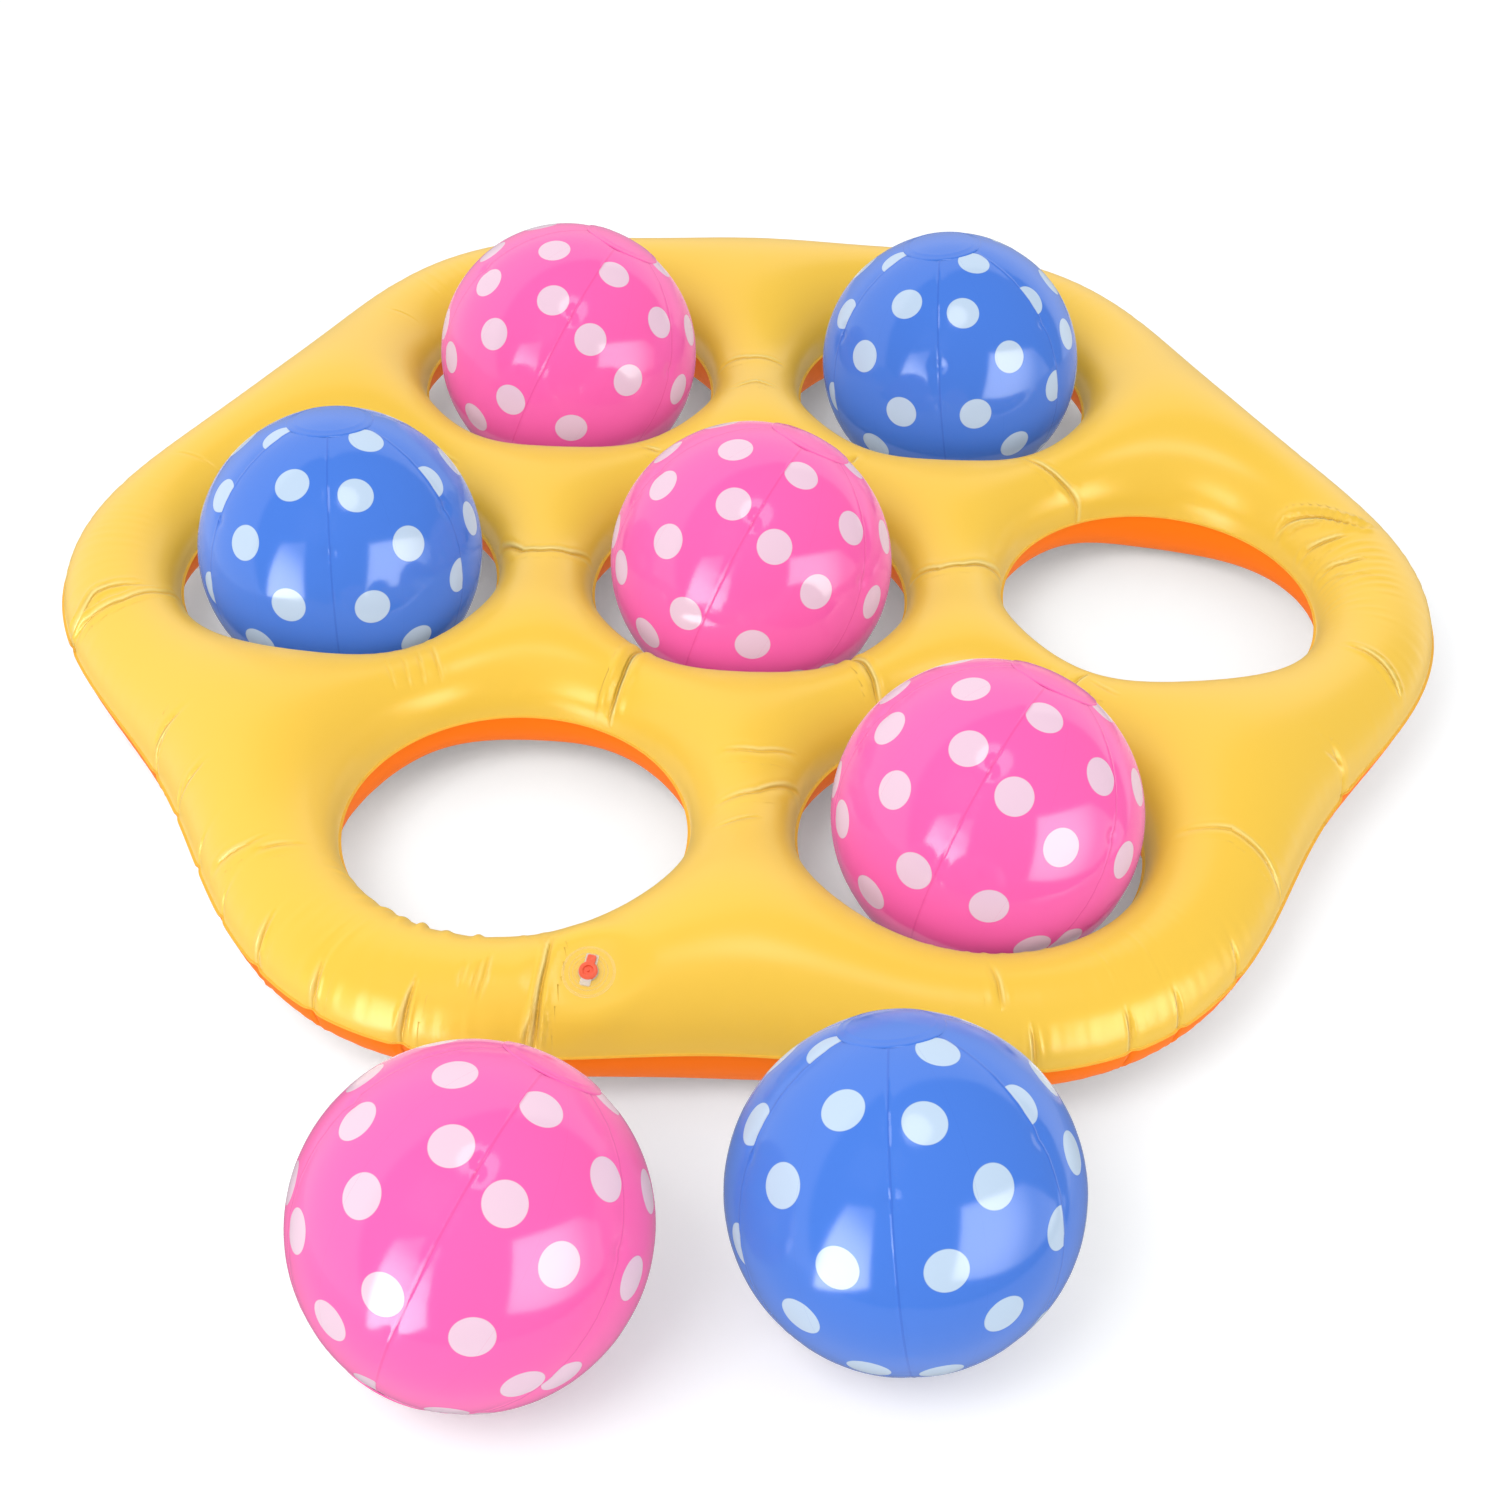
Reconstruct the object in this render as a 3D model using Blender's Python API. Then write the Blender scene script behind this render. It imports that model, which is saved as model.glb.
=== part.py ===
"""Inflatable tic-tac-toe game: a six-lobed air board with seven holes, and seven beach balls as its counters.

The board is two films welded together along the outline and round every hole. Air between the films lifts them
into round tubes, so the height of the film is worked out from the distance to the welds. Each ball is a gored skin
with a disc over both poles. The board and every ball have a valve: a welded flange, a stem that pulls out of it, and
a plug on a strap. Metres, +Z up, the floor at z = 0, the object's box centred on the origin.
"""

import math

import bmesh
import bpy
import numpy as np
from mathutils import Matrix, Vector
from mathutils.geometry import delaunay_2d_cdt

# Counts and shares of the board
LOBES = 6
RIM_STEPS = 10
SIDE_STEPS = 3
RING_SHARES = (1 - math.cos(math.radians(30)), 1 - math.cos(math.radians(60)))

# Board seen from above
HOLE_PITCH = 0.365
HOLE_RADIUS = 0.1383
LOBE_REACH = 0.6092
VALLEY_REACH = 0.5497
WELD_WIDTH = 0.005

# Films and how they lie on each other and on the floor
SHEET_WALL = 0.0004
WELD_GAP = 0.0003
MERGE_SHARE = 0.01
CONTACT_RADIUS = 0.030

# Balls
GORES = 6
STEPS_PER_GORE = 3
BALL_BANDS = 7
BALL_RADIUS = 0.123
BALL_WALL = 0.0004
POLE_OPENING_RADIUS = 0.031
POLE_DISC_RADIUS = 0.0375
POLE_DISC_WALL = 0.0005
LOOSE_SPACING = 0.044
LOOSE_SIDE_SHARE = -0.474

# Valves
SEAT_GAP = 0.0003
VALVE_SIDES = 12
STEM_RADIUS = 0.0050
STEM_BORE_RADIUS = 0.0033
STEM_DEPTH = 0.012
STEM_CLEARANCE = 0.0003
COLLAR_RADIUS = 0.0075
COLLAR_THICKNESS = 0.0012
BOARD_FLANGE_RADIUS = 0.020
BALL_FLANGE_RADIUS = 0.0140
FLANGE_THICKNESS = 0.0006
SEAT_MARGIN = 0.003
PLUG_CAP_RADIUS = 0.0060
PLUG_CAP_THICKNESS = 0.0016
SPIGOT_LENGTH = 0.0040
SPIGOT_TAPER = 0.0007
STRAP_LENGTH = 0.0120
STRAP_WIDTH = 0.0050
STRAP_THICKNESS = 0.0012
STRAP_OVERLAP = 0.0010
LUG_MARGIN = 0.0015
STRAP_END_STEPS = 6

# Where the board's valve sits: the direction from the board's centre and the distance in from its outline
BOARD_VALVE_ANGLE = math.radians(258)
BOARD_VALVE_INSET = 0.042
# The ball's valve sits in the middle of this gore and in this band, counted from the pole
BALL_VALVE_GORE = 3
BALL_VALVE_BAND = 1

# Finishes
YELLOW = (0.955, 0.655, 0.105)
ORANGE = (1.0, 0.155, 0.013)
PINK = (1.0, 0.165, 0.480)
BLUE = (0.080, 0.240, 0.850)
CLEAR = (0.90, 0.90, 0.86)
RED = (0.90, 0.085, 0.022)
FILM_ROUGHNESS = 0.22
VALVE_ROUGHNESS = 0.30
CLEAR_TRANSMISSION = 0.5
FILM_SMOOTH_DEGREES = 35
BALL_SMOOTH_DEGREES = 60

# Each ball in a hole: name, colour, direction of its hole (none is the middle hole), the side it lies towards, the
# gap that is left there to the hole's edge, and how it is turned: tilt of its poles, heading of the tilt, spin.
SEATED_BALLS = (
    ("pink_back_left", PINK, 120, -90, 0.0157, (32, 37, -140)),
    ("pink_centre", PINK, None, -90, 0.0092, (33, 42, -150)),
    ("pink_front_right", PINK, 300, -63, 0.0071, (35, 47, -161)),
    ("blue_back_right", BLUE, 60, -45, 0.0203, (13, 126, 78)),
    ("blue_left", BLUE, 180, -72, 0.0061, (14, 100, 116)),
)
# Each loose ball: name, colour, its gap to the board's front seam, how many balls stand to its left, and its turn.
LOOSE_BALLS = (
    ("pink_loose", PINK, 0.0765, 0, (47, 54, -160)),
    ("blue_loose", BLUE, 0.0376, 1, (29, 105, 101)),
)


def polar(radius, angle):
    """The plan point at this distance and direction from the board's centre."""
    return np.array((radius * math.cos(angle), radius * math.sin(angle)))


def unit(vector):
    return vector / np.linalg.norm(vector)


def clear_scene():
    for obj in list(bpy.data.objects):
        bpy.data.objects.remove(obj, do_unlink=True)


def add_empty(name, parent=None, matrix=None):
    """An empty that carries other objects, placed in its parent's frame."""
    empty = bpy.data.objects.new(name, None)
    bpy.context.scene.collection.objects.link(empty)
    empty.parent = parent
    empty.matrix_local = matrix or Matrix.Identity(4)
    return empty


def add_object(name, mesh, parent, colour, roughness, transmission=0.0):
    """Links a mesh as one named piece with a material of its own."""
    obj = bpy.data.objects.new(name, mesh)
    bpy.context.scene.collection.objects.link(obj)
    obj.parent = parent
    material = bpy.data.materials.new(name + "_film")
    material.use_nodes = True
    shader = material.node_tree.nodes["Principled BSDF"]
    shader.inputs["Base Color"].default_value = (*colour, 1.0)
    shader.inputs["Roughness"].default_value = roughness
    shader.inputs["Metallic"].default_value = 0.0
    shader.inputs["Transmission Weight"].default_value = transmission
    obj.data.materials.append(material)
    return obj


def mesh_from(name, points, faces, smooth_degrees=FILM_SMOOTH_DEGREES):
    """A mesh from points and faces, shaded smooth across edges flatter than the given angle."""
    mesh = bpy.data.meshes.new(name)
    mesh.from_pydata([tuple(point) for point in points], [], [tuple(face) for face in faces])
    mesh.shade_smooth()
    mesh.set_sharp_from_angle(angle=math.radians(smooth_degrees))
    return mesh


def add_wall(obj, thickness, outward=False):
    """Gives an open surface a wall, inward from its faces or outward."""
    solidify = obj.modifiers.new("wall", "SOLIDIFY")
    solidify.thickness = thickness
    solidify.offset = 1.0 if outward else -1.0
    solidify.use_even_offset = True
    solidify.use_quality_normals = True
    solidify.use_rim = True


def join_shape(obj, tool):
    """Unites a tool's shape with an object by a Boolean, and keeps the tool as a hidden guide."""
    tool.hide_render = True
    tool.display_type = "WIRE"
    union = obj.modifiers.new("join", "BOOLEAN")
    union.operation = "UNION"
    union.solver = "EXACT"
    union.object = tool


# The board's plan

def outline_point(angle, inset=0.0):
    """A point of the outline, which swings between lobe and valley as one cosine wave per lobe."""
    swing = (LOBE_REACH - VALLEY_REACH) / 2
    return polar(VALLEY_REACH + swing * (1 + math.cos(LOBES * angle)) - inset, angle)


def hole_angle(lobe):
    return 2 * math.pi * lobe / LOBES


def valley_angle(lobe):
    """The direction of the valley that follows a lobe."""
    return hole_angle(lobe) + math.pi / LOBES


def inner_corner(lobe):
    """The point as far from the middle hole as from the two outer holes beside it."""
    return polar(HOLE_PITCH / (2 * math.cos(math.pi / LOBES)), valley_angle(lobe))


def valley_corner(lobe):
    """The point as far from the two outer holes beside a valley as from the outline there."""
    reach = VALLEY_REACH + HOLE_RADIUS
    distance = (reach**2 - HOLE_PITCH**2) / (2 * (reach - HOLE_PITCH * math.cos(math.pi / LOBES)))
    return polar(distance, valley_angle(lobe))


def between(start, end, steps):
    """Points that cut the line from start to end into equal steps, with both ends."""
    return [start + (end - start) * step / steps for step in range(steps + 1)]


def lobe_crest(lobe):
    """The crest of the outer tube round one lobe, and the outline points across from it, valley to valley."""
    centre = polar(HOLE_PITCH, hole_angle(lobe))
    corner = valley_corner(lobe) - centre
    half_turn = math.atan2(corner[1], corner[0]) - hole_angle(lobe)
    half_turn = (half_turn + math.pi) % (2 * math.pi) - math.pi
    crest, outline = [], []
    for step in range(RIM_STEPS + 1):
        share = 2 * step / RIM_STEPS - 1
        outer = hole_angle(lobe) + share * math.pi / LOBES
        outline.append(outer)
        edge = centre + polar(HOLE_RADIUS, hole_angle(lobe) + share * half_turn)
        crest.append((edge + outline_point(outer)) / 2)
    crest[0] = valley_corner(lobe - 1)
    crest[-1] = valley_corner(lobe)
    return crest, outline


def outer_cell(lobe):
    """The crest all round an outer hole."""
    crest, _ = lobe_crest(lobe)
    crest += between(valley_corner(lobe), inner_corner(lobe), SIDE_STEPS)[1:]
    crest += between(inner_corner(lobe), inner_corner(lobe - 1), SIDE_STEPS)[1:]
    crest += between(inner_corner(lobe - 1), valley_corner(lobe - 1), SIDE_STEPS)[1:-1]
    return crest


def middle_cell():
    """The crest all round the middle hole."""
    crest = []
    for lobe in range(LOBES):
        crest += between(inner_corner(lobe - 1), inner_corner(lobe), SIDE_STEPS)[:-1]
    return crest


class Plan:
    """Points and lines of the board from above. A round seat can be kept clear of both."""

    def __init__(self, seat=None, seat_radius=0.0):
        self.points = []
        self.edges = []
        self.welded = set()
        self.seat = seat
        self.seat_radius = seat_radius

    def is_clear(self, start, end):
        """True where the line from start to end stays out of the seat."""
        if self.seat is None:
            return True
        along = end - start
        length = float(along @ along)
        share = 0.0 if length == 0 else min(1.0, max(0.0, float((self.seat - start) @ along) / length))
        return float(np.linalg.norm(start + along * share - self.seat)) > self.seat_radius

    def chain(self, places, closed=False, welded=False, in_seat=False):
        """Adds points and the lines between them."""
        kept = {}
        for number, place in enumerate(places):
            if in_seat or self.is_clear(place, place):
                kept[number] = len(self.points)
                self.points.append(place)
                if welded:
                    self.welded.add(kept[number])
        ends = range(len(places)) if closed else range(len(places) - 1)
        for number in ends:
            following = (number + 1) % len(places)
            if number not in kept or following not in kept:
                continue
            if in_seat or self.is_clear(places[number], places[following]):
                self.edges.append((kept[number], kept[following]))


def draw_bands(plan, welds, crests, edges):
    """Draws the weld between two loops of edge and weld points, and the rings from the weld to the crest."""
    plan.chain(edges, closed=True, welded=True)
    plan.chain(welds, closed=True, welded=True)
    for share in RING_SHARES:
        plan.chain([weld + (crest - weld) * share for weld, crest in zip(welds, crests)], closed=True)
    plan.chain(crests, closed=True)
    for edge, weld, crest in zip(edges, welds, crests):
        rings = [weld + (crest - weld) * share for share in RING_SHARES]
        plan.chain([weld, *rings, crest])


def draw_hole(plan, centre, crests):
    directions = [unit(crest - centre) for crest in crests]
    edges = [centre + direction * HOLE_RADIUS for direction in directions]
    welds = [centre + direction * (HOLE_RADIUS + WELD_WIDTH) for direction in directions]
    draw_bands(plan, welds, crests, edges)


def draw_rim(plan):
    crests, edges, welds = [], [], []
    for lobe in range(LOBES):
        crest, angles = lobe_crest(lobe)
        crests += crest[:-1]
        edges += [outline_point(angle) for angle in angles[:-1]]
        welds += [outline_point(angle, WELD_WIDTH) for angle in angles[:-1]]
    draw_bands(plan, welds, crests, edges)


def contact_ring(lobe):
    """Points round a valley's corner, where the board's own weight presses it flat on the floor."""
    corner = valley_corner(lobe)
    near, _ = lobe_crest(lobe)
    far, _ = lobe_crest(lobe + 1)
    targets = [
        outline_point(valley_angle(lobe)),
        near[-2],
        polar(HOLE_PITCH, hole_angle(lobe)),
        inner_corner(lobe),
        polar(HOLE_PITCH, hole_angle(lobe + 1)),
        far[1],
    ]
    return [corner + unit(target - corner) * CONTACT_RADIUS for target in targets]


def circle_points(centre, radius, count=VALVE_SIDES):
    return [centre + polar(radius, 2 * math.pi * step / count) for step in range(count)]


def valve_place():
    return outline_point(BOARD_VALVE_ANGLE, BOARD_VALVE_INSET)


def seat_radius():
    return BOARD_FLANGE_RADIUS + SEAT_MARGIN


def bore_radius():
    """The valve's hole, whose flat sides clear the stem's corners."""
    return STEM_RADIUS + STEM_CLEARANCE / math.cos(math.pi / VALVE_SIDES)


def inside_loop(point, loop):
    """True where a plan point lies inside a closed loop of points."""
    inside = False
    for start, end in zip(loop, loop[1:] + loop[:1]):
        if (start[1] > point[1]) != (end[1] > point[1]):
            crossing = start[0] + (point[1] - start[1]) * (end[0] - start[0]) / (end[1] - start[1])
            inside ^= bool(point[0] < crossing)
    return inside


def hole_edge(centre, crests):
    """The polygon that a hole's edge is drawn as."""
    return [centre + unit(crest - centre) * HOLE_RADIUS for crest in crests]


def rim_edge():
    """The polygon that the outline is drawn as."""
    return [outline_point(angle) for lobe in range(LOBES) for angle in lobe_crest(lobe)[1][:-1]]


def draw_board(with_valve):
    """The whole plan, and the polygons of its seven holes."""
    plan = Plan(valve_place(), seat_radius()) if with_valve else Plan()
    holes = []
    for lobe in range(LOBES):
        centre = polar(HOLE_PITCH, hole_angle(lobe))
        draw_hole(plan, centre, outer_cell(lobe))
        holes.append(hole_edge(centre, outer_cell(lobe)))
        plan.chain(contact_ring(lobe), closed=True)
    draw_hole(plan, np.zeros(2), middle_cell())
    holes.append(hole_edge(np.zeros(2), middle_cell()))
    draw_rim(plan)
    if with_valve:
        plan.chain(circle_points(valve_place(), seat_radius()), closed=True, in_seat=True)
        plan.chain(circle_points(valve_place(), bore_radius()), closed=True, in_seat=True)
    return plan, holes


def cut_plan(with_valve):
    """Triangles of the board's film from above: its points, its faces, and which points are welded."""
    plan, holes = draw_board(with_valve)
    flat = [Vector(point) for point in plan.points]
    merge_distance = WELD_GAP * MERGE_SHARE
    points, _, faces, sources, _, _ = delaunay_2d_cdt(flat, plan.edges, [], 0, merge_distance, True)
    points = np.array([tuple(point) for point in points])
    welded = np.array([bool(plan.welded.intersection(source)) for source in sources])
    rim = rim_edge()
    kept = []
    for face in faces:
        middle = points[list(face)].mean(axis=0)
        if inside_loop(middle, rim) and not any(inside_loop(middle, hole) for hole in holes):
            kept.append(face)
    return points, kept, welded


def inflate(points, faces, welded):
    """Height of the film over the weld plane.

    The square of the height has a Laplacian of -2 and is zero on the welds, which makes a strip between two
    straight welds a round tube. It is solved with linear elements on the plan's own triangles.
    """
    count = len(points)
    stiffness = np.zeros((count, count))
    load = np.zeros(count)
    for face in faces:
        corners = points[list(face)]
        area = abs(float(np.linalg.det(corners[1:] - corners[0]))) / 2
        for turn in range(3):
            here, left, right = (face[(turn + step) % 3] for step in range(3))
            one = points[left] - points[here]
            two = points[right] - points[here]
            half_cotangent = float(one @ two) / (4 * area)
            stiffness[left, right] -= half_cotangent
            stiffness[right, left] -= half_cotangent
            stiffness[left, left] += half_cotangent
            stiffness[right, right] += half_cotangent
            load[here] += 2 * area / 3
    free = ~welded
    free &= np.diag(stiffness) > 0
    squares = np.zeros(count)
    squares[free] = np.linalg.solve(stiffness[np.ix_(free, free)], load[free])
    return np.sqrt(np.maximum(squares, 0.0))


def nearest(points, place):
    return int(np.argmin(np.linalg.norm(points - place, axis=1)))


def used_only(points, faces, heights):
    """Drops the points that no face uses."""
    used = sorted({corner for face in faces for corner in face})
    new_number = {old: new for new, old in enumerate(used)}
    return points[used], [tuple(new_number[corner] for corner in face) for face in faces], heights[used]


def make_bottom_sheet(game):
    """The lower film, flat where the board stands. Returns its height of seam with the object."""
    points, faces, welded = cut_plan(with_valve=False)
    heights = inflate(points, faces, welded)
    feet = [nearest(points, place) for lobe in range(LOBES) for place in contact_ring(lobe)]
    below = WELD_GAP / 2 + SHEET_WALL
    seam = float(min(heights[feet])) + below
    points, faces, heights = used_only(points, faces, heights)
    level = np.maximum(seam - below - heights, 0.0)
    solid = [(x, y, z) for (x, y), z in zip(points, level)]
    mesh = mesh_from("bottom_sheet", solid, [face[::-1] for face in faces])
    sheet = add_object("bottom_sheet", mesh, game, ORANGE, FILM_ROUGHNESS)
    add_wall(sheet, SHEET_WALL)
    return seam


def seat_plane(points, heights):
    """The flat that the board's valve is welded on: its middle and its normal, from the film round the seat."""
    ring = [nearest(points, place) for place in circle_points(valve_place(), seat_radius())]
    spread = np.column_stack((points[ring] - valve_place(), np.ones(len(ring))))
    slope_x, slope_y, level = np.linalg.lstsq(spread, heights[ring], rcond=None)[0]
    return ring, Vector((*valve_place(), level)), Vector((-slope_x, -slope_y, 1.0)).normalized()


def valve_frame(middle, normal, towards):
    """A frame at a valve seat, z out of the film and x from the valve to its strap's hinge."""
    along = (towards - normal * towards.dot(normal)).normalized()
    across = normal.cross(along)
    rotation = Matrix((along, across, normal)).transposed().to_4x4()
    return Matrix.Translation(middle) @ rotation


def make_top_sheet(game, seam):
    """The upper film with the valve's bore. Returns the frame of the valve's seat."""
    points, faces, welded = cut_plan(with_valve=True)
    heights = inflate(points, faces, welded)
    ring, middle, normal = seat_plane(points, heights)
    above = seam + WELD_GAP / 2 + SHEET_WALL
    level = heights + above
    middle.z += above
    inward = Vector((-middle.x, -middle.y, 0.0))
    frame = valve_frame(middle, normal, inward)
    bore = [nearest(points, place) for place in circle_points(valve_place(), bore_radius())]
    solid = [Vector((x, y, z)) for (x, y), z in zip(points, level)]
    for number in ring:
        offset = Vector((*points[number], 0.0)) - Vector((middle.x, middle.y, 0.0))
        solid[number].z = middle.z - (normal.x * offset.x + normal.y * offset.y) / normal.z
    first = frame.inverted() @ Vector((*points[bore[0]], middle.z))
    first_step = round(math.atan2(first.y, first.x) * VALVE_SIDES / (2 * math.pi))
    for step, number in enumerate(bore):
        turn = 2 * math.pi * (first_step + step) / VALVE_SIDES
        solid[number] = frame @ Vector((*polar(bore_radius(), turn), 0.0))
    opening = set(bore)
    faces = [face for face in faces if not opening.issuperset(face)]
    kept, faces, _ = used_only(np.array([tuple(point) for point in solid]), faces, level)
    sheet = add_object("top_sheet", mesh_from("top_sheet", kept, faces), game, YELLOW, FILM_ROUGHNESS)
    add_wall(sheet, SHEET_WALL)
    return frame


# Valves

def turned(name, profile, closed_on_axis=False):
    """A solid turned about z from its profile of (radius, height) points, which runs down on the outer side."""
    points, faces, rings = [], [], []
    for radius, height in profile:
        if radius == 0:
            rings.append([len(points)] * VALVE_SIDES)
            points.append((0.0, 0.0, height))
            continue
        rings.append(list(range(len(points), len(points) + VALVE_SIDES)))
        points += [(*polar(radius, 2 * math.pi * step / VALVE_SIDES), height) for step in range(VALVE_SIDES)]
    pairs = list(zip(rings, rings[1:]))
    if not closed_on_axis:
        pairs.append((rings[-1], rings[0]))
    for upper, lower in pairs:
        for step in range(VALVE_SIDES):
            following = (step + 1) % VALVE_SIDES
            corners = [upper[step], lower[step], lower[following], upper[following]]
            faces.append([corner for place, corner in enumerate(corners) if corner != corners[place - 1]])
    return mesh_from(name, points, faces)


def box_mesh(name, low, high):
    mesh = bpy.data.meshes.new(name)
    bm = bmesh.new()
    bmesh.ops.create_cube(bm, size=1.0)
    size = Vector(high) - Vector(low)
    bmesh.ops.scale(bm, vec=size, verts=bm.verts)
    bmesh.ops.translate(bm, vec=(Vector(high) + Vector(low)) / 2, verts=bm.verts)
    bm.to_mesh(mesh)
    bm.free()
    return mesh


def add_tool(name, mesh, parent):
    tool = bpy.data.objects.new(name, mesh)
    bpy.context.scene.collection.objects.link(tool)
    tool.parent = parent
    return tool


def flange_top():
    return SEAT_GAP + FLANGE_THICKNESS


def collar_top():
    return flange_top() + SEAT_GAP + COLLAR_THICKNESS


def make_flange(name, seat, flange_radius):
    """The disc that is welded on the film round the bore."""
    inner = bore_radius()
    profile = (
        (flange_radius, flange_top()),
        (flange_radius, SEAT_GAP),
        (inner, SEAT_GAP),
        (inner, flange_top()),
    )
    add_object(name, turned(name, profile), seat, CLEAR, VALVE_ROUGHNESS, CLEAR_TRANSMISSION)


def make_stem(name, slide):
    """The tube that pulls out of the flange, with a collar that stops it and a lug that holds the plug's strap."""
    collar_bottom = flange_top() + SEAT_GAP
    profile = (
        (COLLAR_RADIUS, collar_top()),
        (COLLAR_RADIUS, collar_bottom),
        (STEM_RADIUS, collar_bottom),
        (STEM_RADIUS, -STEM_DEPTH),
        (STEM_BORE_RADIUS, -STEM_DEPTH),
        (STEM_BORE_RADIUS, collar_top()),
    )
    stem = add_object(name, turned(name, profile), slide, CLEAR, VALVE_ROUGHNESS, CLEAR_TRANSMISSION)
    low = (STEM_RADIUS + STRAP_OVERLAP, -STRAP_WIDTH / 2, collar_bottom)
    high = (STRAP_LENGTH + LUG_MARGIN, STRAP_WIDTH / 2, collar_top())
    join_shape(stem, add_tool(name + "_lug_guide", box_mesh(name + "_lug_guide", low, high), slide))


def strap_mesh(name):
    """A flat strap from the cap to a rounded end about the hinge, in the hinge's own frame."""
    half = STRAP_THICKNESS / 2
    start = PLUG_CAP_RADIUS - STRAP_OVERLAP - STRAP_LENGTH
    outline = [(start, half), (start, -half)]
    for step in range(STRAP_END_STEPS + 1):
        turn = math.pi * step / STRAP_END_STEPS - math.pi / 2
        outline.append((half * math.cos(turn), half * math.sin(turn)))
    count = len(outline)
    points = [(x, side * STRAP_WIDTH / 2, z) for side in (-1, 1) for x, z in outline]
    faces = [tuple(range(count)), tuple(range(2 * count - 1, count - 1, -1))]
    for number in range(count):
        following = (number + 1) % count
        faces.append((number, number + count, following + count, following))
    return mesh_from(name, points, faces)


def make_plug(name, hinge):
    """The cap with its tapered spigot and its strap, in the frame of the strap's hinge."""
    bottom = -STRAP_THICKNESS / 2
    spigot = STEM_BORE_RADIUS - STEM_CLEARANCE
    profile = (
        (0.0, bottom + PLUG_CAP_THICKNESS),
        (PLUG_CAP_RADIUS, bottom + PLUG_CAP_THICKNESS),
        (PLUG_CAP_RADIUS, bottom),
        (spigot, bottom),
        (spigot - SPIGOT_TAPER, bottom - SPIGOT_LENGTH),
        (0.0, bottom - SPIGOT_LENGTH),
    )
    mesh = turned(name, profile, closed_on_axis=True)
    mesh.transform(Matrix.Translation((-STRAP_LENGTH, 0.0, 0.0)))
    plug = add_object(name, mesh, hinge, RED, VALVE_ROUGHNESS)
    join_shape(plug, add_tool(name + "_strap_guide", strap_mesh(name + "_strap_guide"), hinge))


def make_valve(name, carrier, frame, flange_radius):
    """Flange, stem and plug on a seat. The stem slides along the seat's z, and the plug turns about its strap."""
    seat = add_empty(name + "_seat", carrier, frame)
    make_flange(name + "_flange", seat, flange_radius)
    slide = add_empty(name + "_stem_slide", seat)
    make_stem(name + "_stem", slide)
    hinge_height = collar_top() + SEAT_GAP + STRAP_THICKNESS / 2
    hinge = add_empty(name + "_plug_hinge", slide, Matrix.Translation((STRAP_LENGTH, 0.0, hinge_height)))
    make_plug(name + "_plug", hinge)


# Balls

def ball_sides():
    return GORES * STEPS_PER_GORE


def band_angle(band):
    """Angle from the pole at which a band of the skin starts."""
    first = math.asin(POLE_OPENING_RADIUS / BALL_RADIUS)
    return first + (math.pi - 2 * first) * band / BALL_BANDS


def sphere_point(angle, side, radius=BALL_RADIUS):
    turn = 2 * math.pi * side / ball_sides()
    ring = radius * math.sin(angle)
    return Vector((ring * math.cos(turn), ring * math.sin(turn), radius * math.cos(angle)))


def valve_side():
    return BALL_VALVE_GORE * STEPS_PER_GORE + (STEPS_PER_GORE - 1) // 2


def valve_facet():
    """The corners of the flat facet that holds the ball's valve."""
    side = valve_side()
    near, far = band_angle(BALL_VALVE_BAND), band_angle(BALL_VALVE_BAND + 1)
    return [
        sphere_point(near, side),
        sphere_point(far, side),
        sphere_point(far, side + 1),
        sphere_point(near, side + 1),
    ]


def ball_valve_frame():
    corners = valve_facet()
    middle = sum(corners, Vector()) / 4
    normal = (corners[1] - corners[0]).cross(corners[3] - corners[0]).normalized()
    away = corners[1] + corners[2] - corners[0] - corners[3]
    return valve_frame(middle, normal, away)


def skin_mesh(name):
    """The ball's skin, open under both pole discs, with the valve's bore in one facet."""
    sides = ball_sides()
    points = [sphere_point(band_angle(band), side) for band in range(BALL_BANDS + 1) for side in range(sides)]
    faces = []
    for band in range(BALL_BANDS):
        for side in range(sides):
            following = (side + 1) % sides
            face = (
                band * sides + side,
                (band + 1) * sides + side,
                (band + 1) * sides + following,
                band * sides + following,
            )
            if (band, side) == (BALL_VALVE_BAND, valve_side()):
                valve_corners = face
            else:
                faces.append(face)
    frame = ball_valve_frame()
    first = len(points)
    for step in range(VALVE_SIDES):
        points.append(frame @ Vector((*polar(bore_radius(), 2 * math.pi * step / VALVE_SIDES), 0.0)))
    faces += facet_with_bore(points, valve_corners, list(range(first, first + VALVE_SIDES)), frame)
    return mesh_from(name, points, faces, BALL_SMOOTH_DEGREES)


def facet_with_bore(points, corners, bore, frame):
    """Triangles from a facet's four corners to the bore's points, both running the same way round."""
    inverse = frame.inverted()
    turns = []
    for corner in corners:
        local = inverse @ points[corner]
        turns.append(math.atan2(local.y, local.x) % (2 * math.pi))
    starts = [round(turn * len(bore) / (2 * math.pi)) for turn in turns]
    faces = []
    for place, corner in enumerate(corners):
        following = (place + 1) % len(corners)
        steps = (starts[following] - starts[place]) % len(bore)
        half = steps // 2
        for step in range(steps):
            holder = corner if step < half else corners[following]
            one = bore[(starts[place] + step) % len(bore)]
            two = bore[(starts[place] + step + 1) % len(bore)]
            faces.append((holder, two, one))
        faces.append((corner, corners[following], bore[(starts[place] + half) % len(bore)]))
    return faces


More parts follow.
